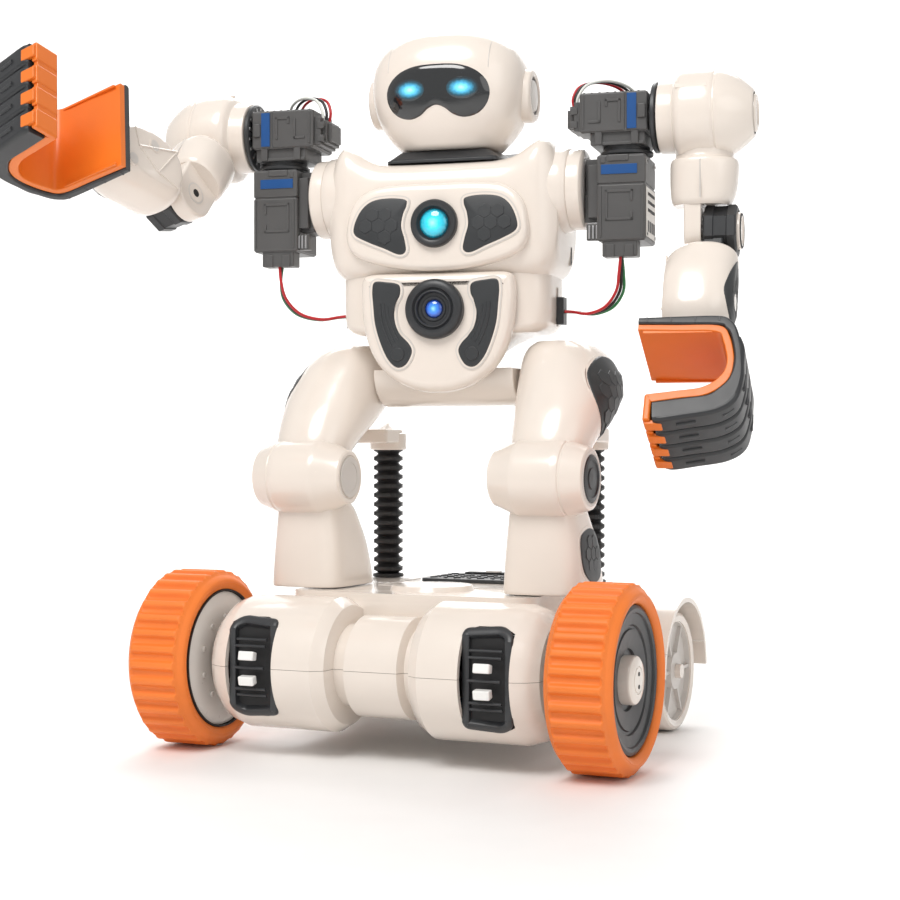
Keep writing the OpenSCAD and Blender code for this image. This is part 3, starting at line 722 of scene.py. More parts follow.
def torso():
    waist = [(152, 0, 1, 18, 17, 2.2), (157, 0, 1, 20, 18, 2.4), (163.5, 0, 2, 30, 20, 3.6),
             (165.2, 0, 2, 38, 20.8, 4.5), (167.5, 0, 2, 42, 21, 5), (170.5, 0, 2, 43.3, 21, 5),
             (180, 0, 2, 43.5, 21, 5.4), (190, 0, 2, 43.5, 21, 5.4)]
    parts = [(chest_solid(-22, 26), CREAM), (loft(waist, 96, 4), CREAM)]
    slot = [(48.1, y, z) for y, z in rect(2.6, 8.4, 1.25, *SLOT, 4)]
    rim = rings_solid([[(x - 1.6, y, z) for x, y, z in slot], [(x - 0.55, y, z) for x, y, z in slot]])
    parts.append((rim, SHADE))
    mouth = [(47.72, y, z) for y, z in rect(1.7, 7.2, 0.8, *SLOT, 4)]
    parts.append((rings_solid([[(x - 1, y, z) for x, y, z in mouth], mouth]), GROOVE))
    seam = [(-43.6, 2.4, 168), (-43.75, 2.4, 172), (-43.75, 2.4, 184)]
    for s in (1, -1):
        parts.append((tube([(x * s, y, z) for x, y, z in seam], 0.28, 6, 3), SHADE))
        seat = moved(lathe([(0, -6), (17.6, -6), (17.2, -2.4), (16.8, 0.4), (16.4, 0.9), (15.6, 1.1),
                            (0, 1.1)], 72), outward(s, 50, HUB_Y, HUB_Z))
        parts.append((seat, CREAM))
    piece("torso_shell_moulded", parts, TORSO, "torso",
          ["torso_front_shell", "torso_rear_shell"], 45, weighted=False)

    hub = [(0, 0), (15.4, 0), (16.2, 0.6), (16.2, 4.6), (15.9, 5.6), (15.0, 6.3), (13.6, 6.5), (13.2, 6.0),
           (0, 6.0)]
    hubs = []
    for s in (1, -1):
        place = outward(s, 50.6, HUB_Y, HUB_Z)
        hubs.append(turned(hub, 96, place, CREAM))
        hubs.append((moved(rod(12.6, 5, 6.35, 64), place), SHADE))
    piece("shoulder_hubs_moulded", hubs, TORSO, "torso", ["shoulder_hubs"])

    collar = [(plate(rounded([(-23, -17), (23, -17), (27, 10), (20, 17), (-20, 17), (-27, 10)], 3), 1.2, 0,
                     0.4, 234.2), DARK)]
    low = rounded([(-22.2, -16.2), (22.2, -16.2), (26, 10), (19.4, 16), (-19.4, 16), (-26, 10)], 3)
    high = np.array(low) * (0.84, 0.80)
    rings = [[(x, y, 235) for x, y in low], [(x, y, 235.8) for x, y in low], [(x, y, 239.0) for x, y in high],
             [(x, y, 239.3) for x, y in high * 0.97]]
    collar.append((rings_solid(rings), DARK))
    for s in (1, -1):
        wing = [(s * 18, 2, 235), (s * 25, 4, 238.6), (s * 25, 13, 241), (s * 18, 15, 241), (s * 14, 15, 235)]
        fin = [[(x, y, z) for x, y, z in wing], [(x * 0.93, y + 2.2, z) for x, y, z in wing]]
        collar.append((rings_solid(fin), DARK))
    piece("neck_collar_moulded", collar, TORSO, "torso", ["neck_collar"], 25)


def hexagons(outline, size, gap, h, z):
    """Raised hexagon tiles that fit inside an outline."""
    border = inset(outline, 0.9)
    x0, y0 = border.min(0)
    x1, y1 = border.max(0)
    made = []
    row = 0
    y = y0 + size * 0.5
    while y < y1:
        x = x0 + (size * 0.866 if row % 2 else 0)
        while x < x1:
            turns = [math.radians(60 * k) for k in range(6)]
            corner = [(x + (size - gap) * math.sin(a), y + (size - gap) * math.cos(a)) for a in turns][::-1]
            if all(inside(q, border) for q in corner):
                made.append(plate(corner, h, 0, h * 0.6, z))
            x += size * 1.732
        y += size * 1.5
        row += 1
    return made


def textured(outline, size, onto, thick=(0.8, 0.3, 0.5), gap=0.2):
    """Inlay that lies on a surface: a cushioned pad under hexagon tiles."""
    solids = [pad(outline, *thick)] + hexagons(outline, size, gap, 0.28, 0.98)
    return [(bent(solid, onto), INLAY) for solid in solids]


def inside(q, outline):
    x, y = q
    odd = False
    for i in range(len(outline)):
        (ax, ay), (bx, by) = outline[i - 1], outline[i]
        if (ay > y) != (by > y) and x < ax + (y - ay) * (bx - ax) / (by - ay):
            odd = not odd
    return odd


BROW_INLAY = [(12.6, 218.2), (19.5, 219), (26.5, 218), (31, 214.4), (33.7, 208.5), (33.4, 204.4), (28, 201.4),
              (21, 198.6), (14.8, 196), (11.8, 197.4), (12.4, 202), (13.8, 207), (13.2, 212), (11.8, 215.8)]
BELLY_INLAY = [(15.2, 184.2), (21, 185.4), (25.4, 185.4), (26.4, 182), (26, 176), (25.2, 168.5), (23, 161),
               (20, 154.6), (16.2, 151), (12.2, 152), (9.6, 157), (11, 160.6), (15, 164.8), (16.9, 170.4),
               (16.6, 176), (14.6, 180.2)]


def brow_lift(x, z):
    """How far the brow stands out: full along its lower lip, less towards the top."""
    return 4.2 - 1.9 * max(0.0, (z - 204) / 18) ** 1.5


def on_brow(s):
    """Function that lays (x, z, up) on the front of the brow, on side s."""
    return lambda x, z, up: (s * x, CHEST_FRONT - brow_lift(x, z) - up, z)


def on_belly(s):
    """Function that lays (x, z, up) on the front of the belly plate, on side s."""
    return lambda x, z, up: (s * x, BELLY_FRONT - up, z)


def rims(outline, onto, low, steps):
    """Stepped rims round an inlay, from low up, one for each (width, height, material)."""
    made = []
    for width, height, material in steps:
        ring = inset(outline, -width)
        rings = [[onto(x, z, up) for x, z in ring] for up in (low, height)]
        made.append((rings_solid(rings), material))
    return made


def front_panels():
    half = [(0, 224.5), (16, 224.5), (28, 222.8), (35, 217), (37.6, 208), (37.4, 201), (33.6, 196),
            (25, 192.6), (13, 190.2), (0, 189.4)]
    outline = np.array(spline(mirrored(half), 6))
    rings = []
    for d, share in ((0, -0.4), (0, 0.30), (0.35, 0.62), (1.0, 0.85), (1.9, 0.97), (3.0, 1.0)):
        rings.append([(x, CHEST_FRONT - brow_lift(x, z) * share, z) for x, z in inset(outline, d)])
    core = inset(outline, 3.0)
    middle = np.array([0, BROW_Z])
    for t in (0.8, 0.55, 0.3, 0.08):
        ring = middle + (core - middle) * t
        rings.append([(x, CHEST_FRONT - brow_lift(x, z), z) for x, z in ring])
    brow = [(rings_solid(rings), CREAM)]
    for s in (1, -1):
        brow += rims(spline(BROW_INLAY, 5), on_brow(s), -1, ((1.25, 0.28, SHADE), (0.75, 0.42, CREAM)))
    piece("brow_panel_moulded", brow, TORSO, "torso", ["brow_panel"], 45)

    half = [(0, 188.9), (20, 188.9), (29, 188.4), (31.6, 185.5), (31.8, 176), (30.6, 166), (27.4, 156.5),
            (22, 149.2), (14, 143.8), (6, 141.4), (0, 141)]
    outline = spline(mirrored(half), 6)
    profile = [(0, 19.1), (0, 21.6), (0.3, 22.7), (1.0, 23.8), (2.0, 24.6), (3.4, 25.0), (5.0, 25.1)]
    rings = [[(x, -y, z) for x, z in inset(outline, d)] for d, y in profile]
    belly = [(rings_solid(rings), CREAM)]
    for s in (1, -1):
        belly += rims(spline(BELLY_INLAY, 5), on_belly(s), -0.9, ((1.2, 0.25, SHADE), (0.7, 0.4, CREAM)))
    piece("belly_plate_moulded", belly, TORSO, "torso", ["belly_plate"], 45)


def inlays():
    parts = []
    for s in (1, -1):
        parts += textured(spline(BROW_INLAY, 5), 3.1, on_brow(s), (0.75, 0.35, 0.6), 0.22)
    outline = spline(BELLY_INLAY, 5)
    ridges = [[(21.2, 176.5), (20.6, 171), (18.8, 165.5), (16.6, 160.8)],
              [(22.7, 176.5), (22.1, 170), (20.2, 164.2), (18, 159.6)],
              [(19.7, 175.5), (19.2, 171.5), (17.5, 166.6), (15.2, 162)]]
    for s in (1, -1):
        onto = on_belly(s)
        parts.append((bent(pad(outline, 0.8, 0.35, 0.6), onto), INLAY))
        for line in ridges:
            parts.append((tube([onto(x, z, 1.0) for x, z in line], 0.34, 8, 5), DARK))
        knob = [(15.4 + x, 156.2 + z) for x, z in rect(5.4, 5.4, 2.6)]
        parts.append((bent(plate(knob, 0.35, 0, 0.3, 1.0), onto), INLAY))
    piece("front_inlays_textured", parts, TORSO, "torso", ["front_inlays"], 30)


def eye_of_torso(name, lens_name, node, lens_node, z, y, profile, lens, material):
    """A dark stepped bezel ring with a domed lens in it."""
    place = at(0, y, z) @ FACE_FRONT
    piece(name, [turned(profile, 96, place, DARK)], TORSO, "torso", [node], 30)
    made = piece(lens_name, [(moved(lathe(lens, 64), place), material)], TORSO, "torso", [lens_node],
                 60, weighted=False)
    add_glow(made, [(0, z)], lens[1][0], lens[1][0])


def lenses():
    ring = [(6.0, 0), (9.6, 0), (9.6, 1.8), (9.3, 2.6), (8.7, 3.1), (7.6, 3.1), (6.9, 2.7), (6.5, 1.9),
            (6.0, 1.4)]
    dome = [(0, 0), (6.2, 0), (6.2, 0.9), (5.8, 1.5), (5.0, 2.1), (3.8, 2.7), (2.2, 3.1), (0.9, 3.25),
            (0, 3.3)]
    eye_of_torso("lamp_bezel_stepped", "lamp_lens_lit", "lamp_bezel", "lamp_lens", LAMP_Z, -25.8, ring, dome,
                 CYAN)
    ring = [(3.7, 0), (12, 0), (12, 2.2), (11.6, 3.2), (10.8, 3.9), (9.4, 4.3), (8.6, 4.2), (8.2, 3.6),
            (7.9, 3.4), (7.6, 3.6), (7.4, 4.0), (6.9, 4.1), (6.6, 3.7), (6.3, 2.6), (5.2, 2.5), (4.8, 2.9),
            (4.3, 2.9), (3.7, 2.3)]
    dome = [(0, 0), (3.9, 0), (3.9, 1.6), (3.5, 2.3), (2.6, 2.9), (1.2, 3.2), (0, 3.3)]
    # the camera lens gets a painted glow, not a lamp's light
    eye_of_torso("camera_bezel_stepped", "camera_lens_painted_glow", "camera_bezel", "camera_lens", CAMERA_Z, -24.9,
                 ring, dome, AZURE)


head()
torso()
front_panels()
inlays()
lenses()


# ---------- servos, horns and leads ----------
SERVO_FRONT = -14.0


def bars(rows, up=0.45):
    """Small rounded bars (x0, x1, z0, z1) standing on the servo's front."""
    return [block(x0, x1, SERVO_FRONT - up, SERVO_FRONT + 0.4, z0, z1, 0.2) for x0, x1, z0, z1 in rows]


def screw(y, z, x, r=1.5):
    """Round screw head with a cross slot, its axis along x."""
    head = moved(lathe([(0, 0), (r, 0), (r, 0.35), (r * 0.8, 0.6), (0, 0.7)], 24), at(x, y, z) @ ALONG_X)
    slots = [block(x + 0.55, x + 0.8, y - r * 0.6, y + r * 0.6, z - 0.2, z + 0.2, 0.08),
             block(x + 0.55, x + 0.8, y - 0.2, y + 0.2, z - r * 0.6, z + r * 0.6, 0.08)]
    return [(head, MOTOR)] + [(slot, GROOVE) for slot in slots]


def lower_servo(s, name):
    dark = [block(63, 82.5, -14, 10, 200.6, 222.6, 1.1), block(63, 82.5, -14, 10, 223, 234, 1.0),
            block(63.6, 82, -13.5, 9.5, 200.2, 234.4, 0.8), block(57.2, 63.6, -9, 5, 208.4, 219.6, 0.7),
            block(57.6, 63.6, -8.5, 4.5, 219, 233.6, 0.6), block(59, 63.4, -11.6, -8, 210, 231, 0.5),
            block(65, 79, -13, -5, 194.2, 200.8, 0.9), block(66.4, 70, -13.6, -10, 194, 199, 0.5),
            block(74, 77.6, -13.6, -10, 194, 199, 0.5), block(58.5, 63, -12, -8.2, 201, 207.4, 0.5),
            block(67, 76, -14.6, -12, 231.6, 234.3, 0.9), block(64.4, 66.6, -14.4, -12.4, 231, 233.6, 0.5)]
    marks = bars([(66.5, 77.5, 219.4, 220.4), (66.5, 67.5, 208.4, 220.4), (66.5, 77.5, 208.4, 209.4),
                  (76.5, 77.5, 216, 220.4), (76.5, 77.5, 208.4, 211.6), (64.2, 65, 202, 222),
                  (81, 81.8, 202, 222)])
    plate_marks = [(block(82.3, 83, -10 + 4.4 * i, -7.4 + 4.4 * i, 204, 208.4, 0.2), DARK) for i in range(4)]
    plate_marks += [(block(82.3, 83, -9.6, 5.4, 212 + 3.2 * i, 213.2 + 3.2 * i, 0.2), GROOVE)
                    for i in range(3)]
    parts = [(solid, SERVO) for solid in dark + marks] + plate_marks
    parts += [(block(82.2, 82.8, -12.4, 8.4, 202, 221.4, 0.2), PALE)]
    parts += [(solid, BLUE) for solid in bars([(64.8, 79.2, 226.6, 230.4)], up=0.35)]
    for z in (203, 231.6):
        parts += screw(-11, z, 82.2, 1.1) + screw(7, z, 82.2, 1.1)
    parts += [(block(59.4 + 1.5 * i, 60.2 + 1.5 * i, -12.6, -11.6, 201.6, 206.8, 0.15), MOTOR)
              for i in range(3)]
    piece(f"{name}_lower_servo_cased", parts, torso_side(s), "torso",
          [f"{name}_lower_servo"], 30)


def upper_servo(s, name):
    dark = [block(56, 74.4, -14, 10, 243.6, 258.8, 1.0), block(74.7, 83.2, -14, 10, 243.6, 258.8, 1.0),
            block(56.6, 82.6, -13.5, 9.5, 243.2, 259.1, 0.8), block(60, 82, -12, 8, 238.6, 243.8, 0.7),
            block(62, 65, -13.4, -11, 238.4, 244.4, 0.5), block(76.5, 79.5, -13.4, -11, 238.4, 244.4, 0.5),
            block(60.4, 81.6, -12.6, 8.4, 238.3, 239.6, 0.5), block(53.4, 56.6, -12, 7, 244.4, 256, 0.6),
            block(51.4, 54, -10, 6, 245.4, 254.8, 0.5), block(50, 52, -8, 4, 246.4, 253.6, 0.4),
            block(52, 55, -12.4, -10.4, 245.6, 248.4, 0.4), block(52, 55, -12.4, -10.4, 251, 253.8, 0.4),
            block(79.2, 82.6, -15, -12.6, 248.2, 253.8, 0.9),
            block(72.4, 76.8, 11.2, 15.2, 247.4, 251.4, 0.6), block(73, 76, 8, 12, 247, 251, 0.5)]
    flange = moved(lathe([(0, 0), (10.4, 0), (10.6, 0.3), (10.6, 1.4), (9.4, 1.8), (9.4, 3.3), (0, 3.3)], 64),
                   at(73, -2, 235))
    marks = bars([(66.4, 72.6, 255.2, 256.2), (71.6, 72.6, 247, 256.2), (66.4, 67.4, 253.4, 256.2),
                  (59.6, 64.6, 247, 248), (63.6, 64.6, 247, 255.4), (57.2, 58, 245, 257.6)])
    parts = [(solid, SERVO) for solid in dark + marks] + [(flange, DARK)]
    parts += [(solid, BLUE) for solid in bars([(75.1, 78.9, 244.2, 258.2)], up=0.35)]
    parts += [(block(57.5 + 3.1 * i, 58.3 + 3.1 * i, -13.4, 9.4, 258.9, 259.2, 0.12), GROOVE)
              for i in range(8)]
    piece(f"{name}_upper_servo_cased", parts, torso_side(s), f"{name}_upper_servo",
          [f"{name}_upper_servo"], 30)


def wires(name, place, body, node, route, spread, end, colours):
    parts = []
    for k, colour in zip((-1, 0, 1), colours):
        path = []
        for i, (x, y, z) in enumerate(route):
            sway = 1.3 * k * math.sin(math.pi * i / (len(route) - 1))
            path.append((x + k * spread[0] + sway, y + k * spread[1], z))
        if end:
            path.append((end[0] + k * 1.6, end[1], end[2]))
        parts.append((tube(path, 0.62, 10, 6), WIRES[colour]))
    piece(name, parts, place, body, [node] if node else [], 60, weighted=False)


LOW_ROUTE = [(72, -9, 194.4), (72, -9, 188), (71, -7, 181), (66, -4, 175), (58, 0, 172.8), (51, 4, 173.9),
             (46.65, 4, 174.2)]
TOP_ROUTE = [(53, -6, 254.6), (53, -6, 259), (56, -4, 264), (63, 0, 266), (70, 6, 264.5), (74, 12, 260),
             (75, 14.5, 254), (74.7, 13.4, 251)]
HORN = [(0, 84.1), (13.3, 84.1), (14, 84.6), (14, 85.7), (13.5, 86.1), (0, 86.1)]
SHOULDER = [(0, 86.4), (13.2, 86.4), (14.2, 86.8), (14.5, 87.5), (14.5, 92.2), (14.8, 93), (15.6, 93.5),
            (16.9, 94), (17.9, 95), (18.4, 96.6), (18.5, 99), (18.5, 104.6), (18.3, 107.4), (17.9, 108.6),
            (17.5, 108.9), (17.5, 109.4), (17.8, 109.8), (17.5, 111.4), (16.4, 114.2), (14.4, 117.6),
            (11.9, 120.8), (9.9, 122.9), (9.1, 123.6), (8.5, 123.7), (8.3, 123.2), (0, 123.2)]
ARM_X, UPPER_LENGTH, WRIST_Z = 104, 46, -52
ARM_CAP = [(0, 123), (7.5, 123), (7.5, 124.1), (6.9, 124.7), (5.2, 124.8), (4.9, 124.3), (0, 124.3)]


def shoulder(s, name):
    place = limb(s, "elbow", "shoulder_swing", "arm_roll") @ at(-ARM_X, 0, UPPER_LENGTH)
    tooth = block(83.9, 84.4, 9.4, 12.6, -0.5, 0.5, 0.15)
    ring = [(moved(tooth, turn(20 * i, "X")), MOTOR) for i in range(18)]
    pin = rod(3.6, 77, 84.3)
    parts = [turned(HORN, 72, ALONG_X, DARK), (moved(pin, ALONG_X), MOTOR)] + ring
    piece(f"{name}_pitch_horn_turned", parts, place, f"{name}_shoulder",
          [f"{name}_pitch_horn"], 30)
    groove = [(8.3, 123), (8.4, 123.5), (7.5, 123.5), (7.5, 123)]
    rib = block(94.6, 107, -1, 1, 17.6, 18.5, 0.3)
    parts = [turned(SHOULDER, 96, ALONG_X, CREAM), turned(ARM_CAP, 48, ALONG_X, CREAM),
             turned(groove, 48, ALONG_X, GROOVE)]
    parts += [(moved(rib, turn(angle, "X")), CREAM) for angle in (60, 180, 300)]
    piece(f"{name}_shoulder_shell_moulded", parts, place, f"{name}_shoulder",
          [f"{name}_shoulder_shell"], 36)


# ---------- arms and hands ----------
UPPER_ARM = [(8, 0, 0, 10.6, 10.6, 2), (6, 0, 0, 11.2, 11.2, 2), (-13, 0, 0, 11.4, 11.4, 2),
             (-17, 0, 0, 11.6, 11.6, 2.1), (-18.6, 0, 0, 13.2, 13, 2.3), (-22, 0, 0, 13.4, 13.2, 2.4),
             (-29, -0.3, 0, 13, 12.6, 2.5), (-34, -0.8, 0, 12, 11.8, 2.5), (-36, -1.2, 0, 10.8, 10.6, 2.4)]
FOREARM = [(-12.5, 1.5, 0, 11.6, 10.8, 2.3), (-14, 1.2, 0, 13, 12, 2.4), (-18, 0.2, 0, 14, 13, 2.6),
           (-26, -0.5, -0.5, 14.5, 13.7, 2.8), (-36, -0.3, -0.5, 14.6, 13.6, 2.8),
           (-42, -0.5, -0.5, 13.8, 12.9, 2.6), (-47.4, -0.8, 0, 12, 11.2, 2.4),
           (-51.4, -1, 0, 10.4, 9.8, 2.3)]
INNER_FLAT = -12.4


def facets(angle, r, x):
    """Eight flats round the elbow barrel."""
    flat = math.pi / 4
    return r if r < 9 else r * math.cos(flat / 2) / math.cos(angle % flat - flat / 2)


def upper_arm(s, name):
    place = limb(s, "elbow", "elbow", "arm_roll") @ at(0, 0, UPPER_LENGTH)
    cheek = [(-10, -33)] + arc(0, -UPPER_LENGTH, 10, 180, 360, 24) + [(10, -33)]
    parts = [(loft(UPPER_ARM, 72, 5), CREAM), (moved(plate(cheek, 6.8, 1.2, 0.4, -7), ALONG_X), CREAM)]
    for r, x, material in ((4.6, -7.15, SHADE), (3.9, -7.25, CREAM), (1.7, -7.35, GROOVE)):
        disc = rod(r, x, x + 0.8, 36)
        parts.append((moved(disc, at(0, 0, -UPPER_LENGTH) @ ALONG_X), material))
    seam = [(11.3, -13.2), (11.6, -13.2), (11.6, -12.6), (11.3, -12.6)]
    parts += [(lathe(seam, 72), SHADE), (block(-0.3, 0.3, -13.3, -12.6, -34, -19, 0.15), SHADE)]
    piece(f"{name}_upper_arm_moulded", parts, place, f"{name}_upper_arm",
          [f"{name}_upper_arm"], 36)


def forearm(s, name):
    place = limb(s, "elbow", "elbow", "wrist")
    parts = [(bent(loft(FOREARM, 88, 5), lambda x, y, z: (max(x, INNER_FLAT), y, z)), CREAM)]
    barrel = lathe([(0, 0.5), (9.8, 0.5), (10.5, 1.2), (10.5, 4.2), (10, 4.6), (10, 9.4), (10.5, 9.8),
                    (10.5, 12.6), (9.8, 13.3), (8.4, 13.4), (8.2, 12.9), (0, 12.9)], 96, facets)
    cap = lathe([(0, 12.7), (7.4, 12.7), (7.4, 14.1), (6.7, 14.8), (5.6, 14.9), (5.2, 14.4), (0, 14.6)], 56)
    pin = rod(2.8, -6.6, 1)
    band_line = lathe([(6.1, 14.4), (7, 14.4), (7, 14.75), (6.7, 14.95), (6.1, 14.95)], 56)
    parts.append((moved(band_line, ALONG_X), GROOVE))
    parts += [(moved(barrel, ALONG_X), DARK), (moved(cap, ALONG_X), CREAM), (moved(pin, ALONG_X), MOTOR),
              (block(0.6, 8.4, -6, 6, -15, -5, 0.8), DARK)]
    for lines in ([(-9, -17.5), (5.5, -29), (-1.5, -40), (-9, -17.5)], [(7.5, -17.5), (5.5, -29)],
                  [(-1.5, -40), (-9, -42)]):
        parts += [(tube([(INNER_FLAT - 0.05, *p), (INNER_FLAT - 0.05, *q)], 0.42, 8, 2), CREAM)
                  for p, q in zip(lines, lines[1:])]
    for y, z in ((-5.5, -31), (5.8, -43.5)):
        for r, x, material in ((2.9, -0.25, CREAM), (2.3, -0.4, SHADE)):
            disc = rod(r, x, x + 0.6, 28)
            parts.append((moved(disc, at(INNER_FLAT, y, z) @ ALONG_X), material))
    notch = [(-3.4, -46), (-3.4, -50.4), (1.2, -50.4), (2.4, -48.2), (1.2, -46)]
    notch = rounded(notch, 0.5)
    parts += [(moved(plate(notch, 1.0, 0, 0.3, INNER_FLAT - 0.6), ALONG_X), SHADE),
              (moved(plate(inset(notch, 0.45), 1.2, 0, 0.3, INNER_FLAT - 0.7), ALONG_X), CREAM)]
    piece(f"{name}_forearm_moulded", parts, place, f"{name}_forearm", [f"{name}_forearm"],
          36)

    outline = spline([(-1.5, -16.2), (3.6, -19.6), (7.4, -26), (9.6, -33), (8, -40), (1, -43.6), (-7, -42),
                      (-11.2, -36), (-9.6, -27.5), (-5.6, -20)], 5)
    outline.reverse()
    parts = textured(outline, 2.8, onto_skin(FOREARM[::-1], 1, 14.2))
    piece(f"{name}_forearm_inlay_textured", parts, place, f"{name}_forearm",
          [f"{name}_forearm_inlay"], 30)


SCOOP = [((-19.7, -0.7), (-19.8, -3.4)), ((-5, -0.4), (-5, -3.9)), ((9.8, -0.4), (10.2, -4.4)),
         ((14.4, -2.2), (12.8, -6)), ((17.4, -7), (15, -9.4)), ((19.8, -18), (16.9, -19.6)),
         ((20.2, -28), (15.4, -27.6)), ((17.8, -36.4), (11.6, -32.2)), ((11.6, -41.2), (7.6, -34.8)),
         ((0.8, -43.4), (-1, -36)), ((-11, -45.2), (-11.8, -37.6))]
LINER = [((-19.8, -3.4), (-19.8, -5.9)), ((-5, -3.8), (-5, -6.5)), ((10.2, -4.3), (9.3, -7.1)),
         ((14.6, -9.2), (12.2, -11.2)), ((16.8, -20), (14.1, -20)), ((15, -28.4), (12.2, -26.3)),
         ((8, -34.3), (6, -31)), ((-2, -35.9), (-4, -32.6)), ((-12, -37.4), (-14.6, -34))]
KNUCKLES = [((18.6, -9.6), (16.4, -12)), ((20.2, -14), (16.6, -15)), ((20.5, -21), (16.4, -21)),
            ((20.6, -28), (15.4, -27.6)), ((18.6, -37), (11.6, -32.2)), ((12, -42), (7.6, -34.8)),
            ((0.8, -44.3), (-1, -36)), ((-8, -45.8), (-9.6, -37.2)), ((-11.2, -45.2), (-11.8, -38))]


def band(pairs, y0, y1, r):
    """Curved wall between an outer and an inner line in x-z, from y0 to y1, with rounded edges."""
    rings = []
    for ox, oz, ix, iz in spline([(*outer, *inner) for outer, inner in pairs], 5, closed=False):
        thick = math.hypot(ox - ix, oz - iz)
        section = rect(thick, y1 - y0, min(r, thick * 0.45), 0, (y0 + y1) / 2, 4)
        rings.append([((ox + ix) / 2 + (ox - ix) * u / thick, v, (oz + iz) / 2 + (oz - iz) * u / thick)
                      for u, v in section])
    return rings_solid(rings)


def hand(s, name):
    place = limb(s, "elbow", "elbow", "wrist") @ at(1, 0, WRIST_Z)
    stub = lathe([(0, -2), (3.4, -2), (3.4, 6.4), (2.9, 6.9), (0, 6.9)], 32)
    parts = [(band(SCOOP, -18.8, 18.8, 0.9), DARK), (stub, DARK)]
    for i in range(4):
        low = -18.95 + 9.5 * i
        parts.append((band(KNUCKLES, low + 0.2, low + 9.2, 1.5), DARK))
        for a, b in (((20.1, -24), (20.2, -30.6)), ((17.2, -38), (13.4, -41)), ((4, -43.6), (-3, -44.9))):
            parts.append((tube([(a[0], low + 4.7, a[1]), (b[0], low + 4.7, b[1])], 0.9, 10, 3), DARK))
    parts += [(block(-17 + 9 * i, -16.2 + 9 * i, side * 18.6 - 0.3, side * 18.6 + 0.3, -3, -1, 0.12), DARK)
              for i in range(4) for side in (1, -1)]
    piece(f"{name}_hand_shell_moulded", parts, place, f"{name}_hand", [f"{name}_hand_shell"],
          32)
    parts = [(band(LINER, -18, 18, 0.5), ORANGE)]
    for i in range(4):
        low = -18 + 9.35 * i
        parts.append((block(-15, -12.2, low, low + 7.9, -44.8, -34.2, 0.9), ORANGE))
        parts.append((block(-14.4, -8, low + 1.5, low + 6.4, -46, -44.2, 0.6), ORANGE))
    parts.append((block(-14.6, -12.6, -17.6, 17.6, -44, -34.6, 0.6), ORANGE))
    parts += [(block(-18, 8, y - 0.5, y + 0.5, -7.2, -5.7, 0.3), ORANGE) for y in (-17, 17)]
    piece(f"{name}_hand_liner_moulded", parts, place, f"{name}_hand",
          [f"{name}_hand_liner"], 32)


def arms():
    for s, name in SIDES:
        lower_servo(s, name)
        upper_servo(s, name)
        wires(f"{name}_servo_leads_split", torso_side(s), f"{name}_upper_servo", f"{name}_servo_leads",
              TOP_ROUTE, (0.8, -1.4), (74.6, 10.4, 249.8), ("red", "black", "white"))
        shoulder(s, name)
        upper_arm(s, name)
        forearm(s, name)
        hand(s, name)
    for s, name in SIDES:
        wires(f"torso_leads_{name}", torso_side(s), "torso", "torso_leads" if s > 0 else None, LOW_ROUTE,
              (0, 1.6), None, ("red", "black", "green"))


arms()


# ---------- wheels and rollers ----------
WHEEL_X, TYRE_W = 86.3, 26
AXLE_X = 52              # inner end of the axle
TYRE_RIBS = 34
DRIVE_Y, DRIVE_Z = -57, 35
ROLLER_INNER = 67.6      # x of the roller's inner face
ROLLER_Y, ROLLER_R = 53, 25


def widened(profile):
    """Profile drawn for a 22 mm tyre, at the tyre's own width."""
    return [(r, z * (TYRE_W / 22)) for r, z in profile]


def tread(angle, r, z):
    """Rounded cross ribs round the middle of the tyre, smooth shoulders beside them."""
    if r < 32.4:
        return r
    rib = 0.5 + 0.5 * math.tanh(1.9 * math.cos(TYRE_RIBS * angle))
    return r - 1.9 * (1 - rib) * max(0, min(1, (9.9 - abs(z)) / 0.8))


